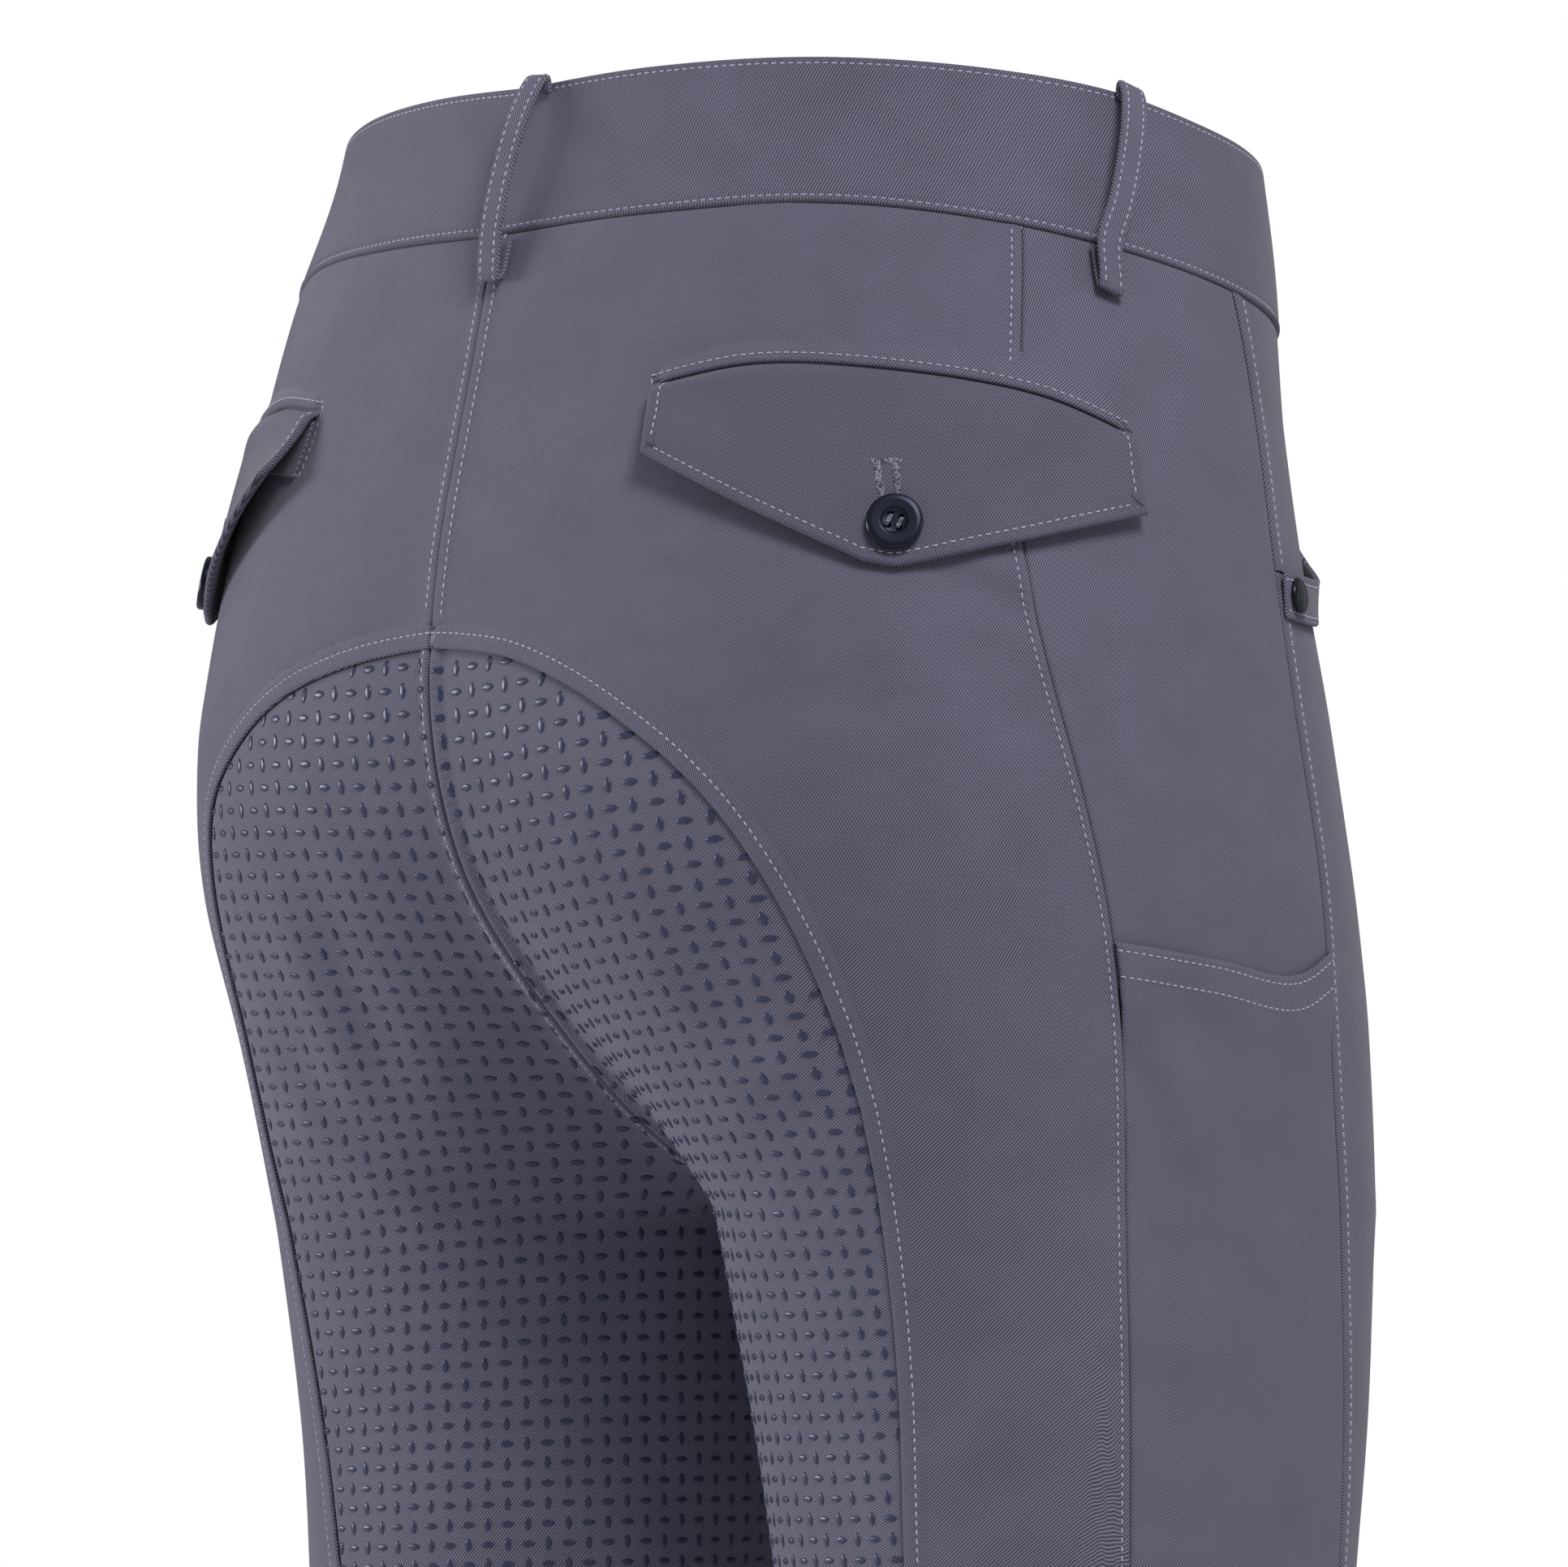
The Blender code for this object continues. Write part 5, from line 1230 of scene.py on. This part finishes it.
def turned(profile, radius, holes, sides=64):
    """A profile spun round Z, closed at both poles. With holes, the face sinks 1.5 mm at four
    places: z - 1.5 smoothstep((HOLE + 0.12 - r) / 0.24)."""
    rows = np.array(profile, float) * (radius, 1)
    run = np.concatenate([[0], np.cumsum(np.hypot(*np.diff(rows, axis=0).T))])
    fine = np.unique(np.concatenate([run, np.arange(0, run[-1], 0.13 if holes else 0.5)]))[1:-1]
    r, z = at_runs(fine, run, rows).T
    angle = np.linspace(0, 2 * np.pi, sides, endpoint=False)
    x, y = r[:, None] * np.cos(angle), r[:, None] * np.sin(angle)
    z = z[:, None] + 0 * x
    if holes:
        for a, b in ((-1, -1), (1, -1), (1, 1), (-1, 1)):
            near = np.hypot(x - a * HOLE_AT, y - b * HOLE_AT)
            z = np.where(z > 1.0, z - 1.5 * ease((HOLE + 0.12 - near) / 0.24), z)
    last = len(r) * sides
    points = np.concatenate([np.stack([x, y, z], -1).reshape(-1, 3),
                             [[0, 0, rows[0, 1]], [0, 0, rows[-1, 1]]]])
    number = np.arange(last).reshape(len(r), sides)
    ahead = np.roll(number, -1, 1)
    belts = np.stack([number[:-1], ahead[:-1], ahead[1:], number[1:]], -1).reshape(-1, 4)
    low = np.stack([ahead[0], number[0], 0 * number[0] + last], -1)
    high = np.stack([number[-1], ahead[-1], 0 * number[0] + last + 1], -1)
    return points, belts.tolist() + low.tolist() + high.tolist()


def set_out(points, place, out):
    """Turns points so that Z points along `out` and x is BUTTON_SPIN degrees off level, and moves
    them to a place."""
    x = unit(np.cross([0, 0, 1.0], out))
    c, s = math.cos(math.radians(BUTTON_SPIN)), math.sin(math.radians(BUTTON_SPIN))
    x = c * x + s * np.cross(out, x)
    return set_at(points, *(v[None] for v in (place, x, np.cross(out, x), out)))[0]


def add_turned(name, profile, radius, place, out, holes=False):
    """A turned piece of resin in the place of its CAD node, its back at `place`."""
    points, faces = turned(profile, radius, holes)
    made = add_mesh(name + "_resin", set_out(points, place, out), faces, resin)
    dress(made, "dark_resin", name)


def thread_tube(a, b, high, radius=0.24, rings=7, sides=8):
    """A strand from hole to hole, bowed up: z = z0 + high sin(pi t), its ends 0.5 deeper."""
    t = np.linspace(0, 1, rings)
    line = np.array(a) + (np.array(b) - a) * t[:, None]
    line[:, 2] += high * np.sin(np.pi * t) - 0.5 * (np.abs(2 * t - 1) > 0.99)
    way = unit(np.gradient(line, axis=0))
    side = unit(np.cross(way, [0, 0, 1.0]))
    angle = np.linspace(0, 2 * np.pi, sides, endpoint=False)
    ring = np.stack([radius * np.cos(angle), radius * np.sin(angle), 0 * angle], -1)
    points = set_at(ring, line, side, np.cross(side, way), way)
    number = np.arange(rings * sides).reshape(rings, sides)
    ahead = np.roll(number, -1, 1)
    faces = np.stack([number[:-1], number[1:], ahead[1:], ahead[:-1]], -1).reshape(-1, 4)
    return points.reshape(-1, 3), faces


def add_sewing(name, place, out, lean=0.3):
    """Two pairs of strands through a button's holes, in its recess."""
    points, faces = [], []
    for x in (-HOLE_AT, HOLE_AT):
        for shift in (-0.27, 0.27):
            strand, cells = thread_tube((x + shift - lean, -HOLE_AT, 1.75),
                                        (x + shift + lean, HOLE_AT, 1.75), 0.35)
            faces.append(cells + len(strand) * len(points))
            points.append(strand)
    dress(add_mesh(name, set_out(np.concatenate(points), place, out), np.concatenate(faces),
                   slate_thread), "thread")


def clear_of(base, proud):
    """A point `proud` above a point of the form, and the way out there."""
    out = outward(base)
    return base + out * proud, out


BUTTON_ALONG, BUTTON_DOWN = 0.515, 0.80     # the button's place on the flap, in shares
for side, flip, turn, rise, off in POCKETS:
    base, face = flap_at(np.array(BUTTON_ALONG), np.array(BUTTON_DOWN), turn, rise, off)
    place, out = (v * (flip, 1, 1) for v in clear_of(base, face + 0.7))
    add_turned(f"flap_button_{side}", BUTTON_PROFILE, BUTTON_RADIUS, place, out, True)
    add_sewing(f"button_thread_{side}", place, out)
middle = float((smooth(BAND, 1, 0.0) + smooth(BAND, 2, 0.0)) / 2)
place, out = clear_of(on_form(0.0, middle), BAND_PROUD + BAND_THICK + LAP_GAP + 0.5)
add_turned("waist_button", BUTTON_PROFILE, BUTTON_RADIUS, place, out, True)
add_sewing("button_thread_waist", place, out)
spot = mouth[-1] + unit(mouth[-4] - mouth[-1]) * 7.0 - (0, 0, 6.8)
snap = clear_of(lay(spot), LYING_GAP + POCKET_BAND_THICK + 1.0)
for side, flip in SIDES:
    add_turned(f"pocket_snap_{side}", SNAP_PROFILE, SNAP_RADIUS, *(v * (flip, 1, 1) for v in snap))

# Worked buttonholes: a bar and two columns of satin stitches beside the slit, in slate thread.
SATIN_PITCH, SATIN_WIDE, SATIN_APART = 0.42, 2.1, 3.9
FLAP_LONG, FLAP_DEEP = 118.0, 52.0          # millimetres to a share along and down the flap
for side, flip, turn, rise, off in POCKETS:
    ends = [(x - SATIN_WIDE / 2, x + SATIN_WIDE / 2, level, level)
            for x in (-SATIN_APART / 2, SATIN_APART / 2)
            for level in np.arange(4.5, 15.2, SATIN_PITCH)]
    ends += [(x, x, 15.0, 16.7) for x in np.arange(-3.1, 3.2, SATIN_PITCH)]
    made = []
    for *x, y0, y1 in ends:                 # millimetres across and up from the button
        base, face = flap_at(BUTTON_ALONG + np.array(x) / FLAP_LONG,
                             BUTTON_DOWN - np.array([y0, y1]) / FLAP_DEEP, turn, rise, off)
        n = outward(base)
        start, end = base + n * (face + 0.05)[..., None]
        span = float(np.linalg.norm(end - start))
        made.append(stitch_row(np.stack([start - (end - start) / 2, end + (end - start) / 2]), n,
                               2 * span - 0.01, span))
    add_stitches(f"buttonhole_{side}", made, flip, slate_thread)

# ---- studio ------------------------------------------------------------------------------------
# A plain pale floor below the hems, a white surround and large soft lights.
REACH_OUT, LEVEL = 6.0, HEM_HEIGHT * MM - 0.004
floor_mesh = bpy.data.meshes.new("floor")
floor_mesh.from_pydata([(x * REACH_OUT, y * REACH_OUT, LEVEL) for x, y in (
    (-1, -1), (1, -1), (1, 1), (-1, 1))], [], [(0, 1, 2, 3)])
floor_paint, shader = new_material("pale_floor")
feed(shader, Base_Color=srgb("#e6e6e8"), Roughness=0.7)
floor_mesh.materials.append(floor_paint)
floor = bpy.data.objects.new("floor", floor_mesh)
bpy.context.scene.collection.objects.link(floor)

# The surround looks white, but lights the cloth less than the softboxes do.
world = bpy.data.worlds.new("white surround")
world.use_nodes = True
dim = feed(world.node_tree.nodes["Background"], Color=(1, 1, 1, 1), Strength=0.29)
bright = add_node(world, "ShaderNodeBackground", Color=(1, 1, 1, 1), Strength=1.0)
either = add_node(world, "ShaderNodeMixShader", _1=(dim, 0), _2=(bright, 0),
                  _0=(add_node(world, "ShaderNodeLightPath"), "Is Camera Ray"))
feed(world.node_tree.nodes["World Output"], Surface=(either, 0))
bpy.context.scene.world = world
bpy.context.scene.view_settings.view_transform = "Standard"


def aim(made, start, target):
    """Puts an object in the scene at start, its -Z pointing at target and Y up."""
    made.location = start
    made.rotation_euler = (Vector(target) - Vector(start)).to_track_quat("-Z", "Y").to_euler()
    bpy.context.scene.collection.objects.link(made)


# Softboxes: (name, place, width and height, watts), in metres
for name, start, size, power in (("left softbox", (1.95, 1.38, 0.03), (1.1, 0.5), 37),
                                 ("key softbox", (-1.67, 0.78, 1.32), (0.7, 0.7), 41),
                                 ("right softbox", (-2.0, -1.4, 0.0), (0.8, 0.8), 5)):
    lamp = bpy.data.lights.new(name, "AREA")
    lamp.shape, lamp.size, lamp.size_y, lamp.energy = "RECTANGLE", *size, power
    aim(bpy.data.objects.new(name, lamp), start, (0, 0, -0.22))

CAMERA_AT = (-2.1213, 2.1213, -0.438)
PITCH_UP, YAW = math.radians(5.09), math.radians(-44.91)
ahead = (math.cos(YAW) * math.cos(PITCH_UP), math.sin(YAW) * math.cos(PITCH_UP),
         math.sin(PITCH_UP))
lens = bpy.data.cameras.new("camera")
lens.sensor_fit, lens.sensor_width = "HORIZONTAL", 36.0
lens.lens = 36.0 * 13530 / 1932
lens.clip_start, lens.clip_end = 0.1, 50.0
camera = bpy.data.objects.new("camera", lens)
aim(camera, CAMERA_AT, [c + a for c, a in zip(CAMERA_AT, ahead)])
bpy.context.scene.camera = camera
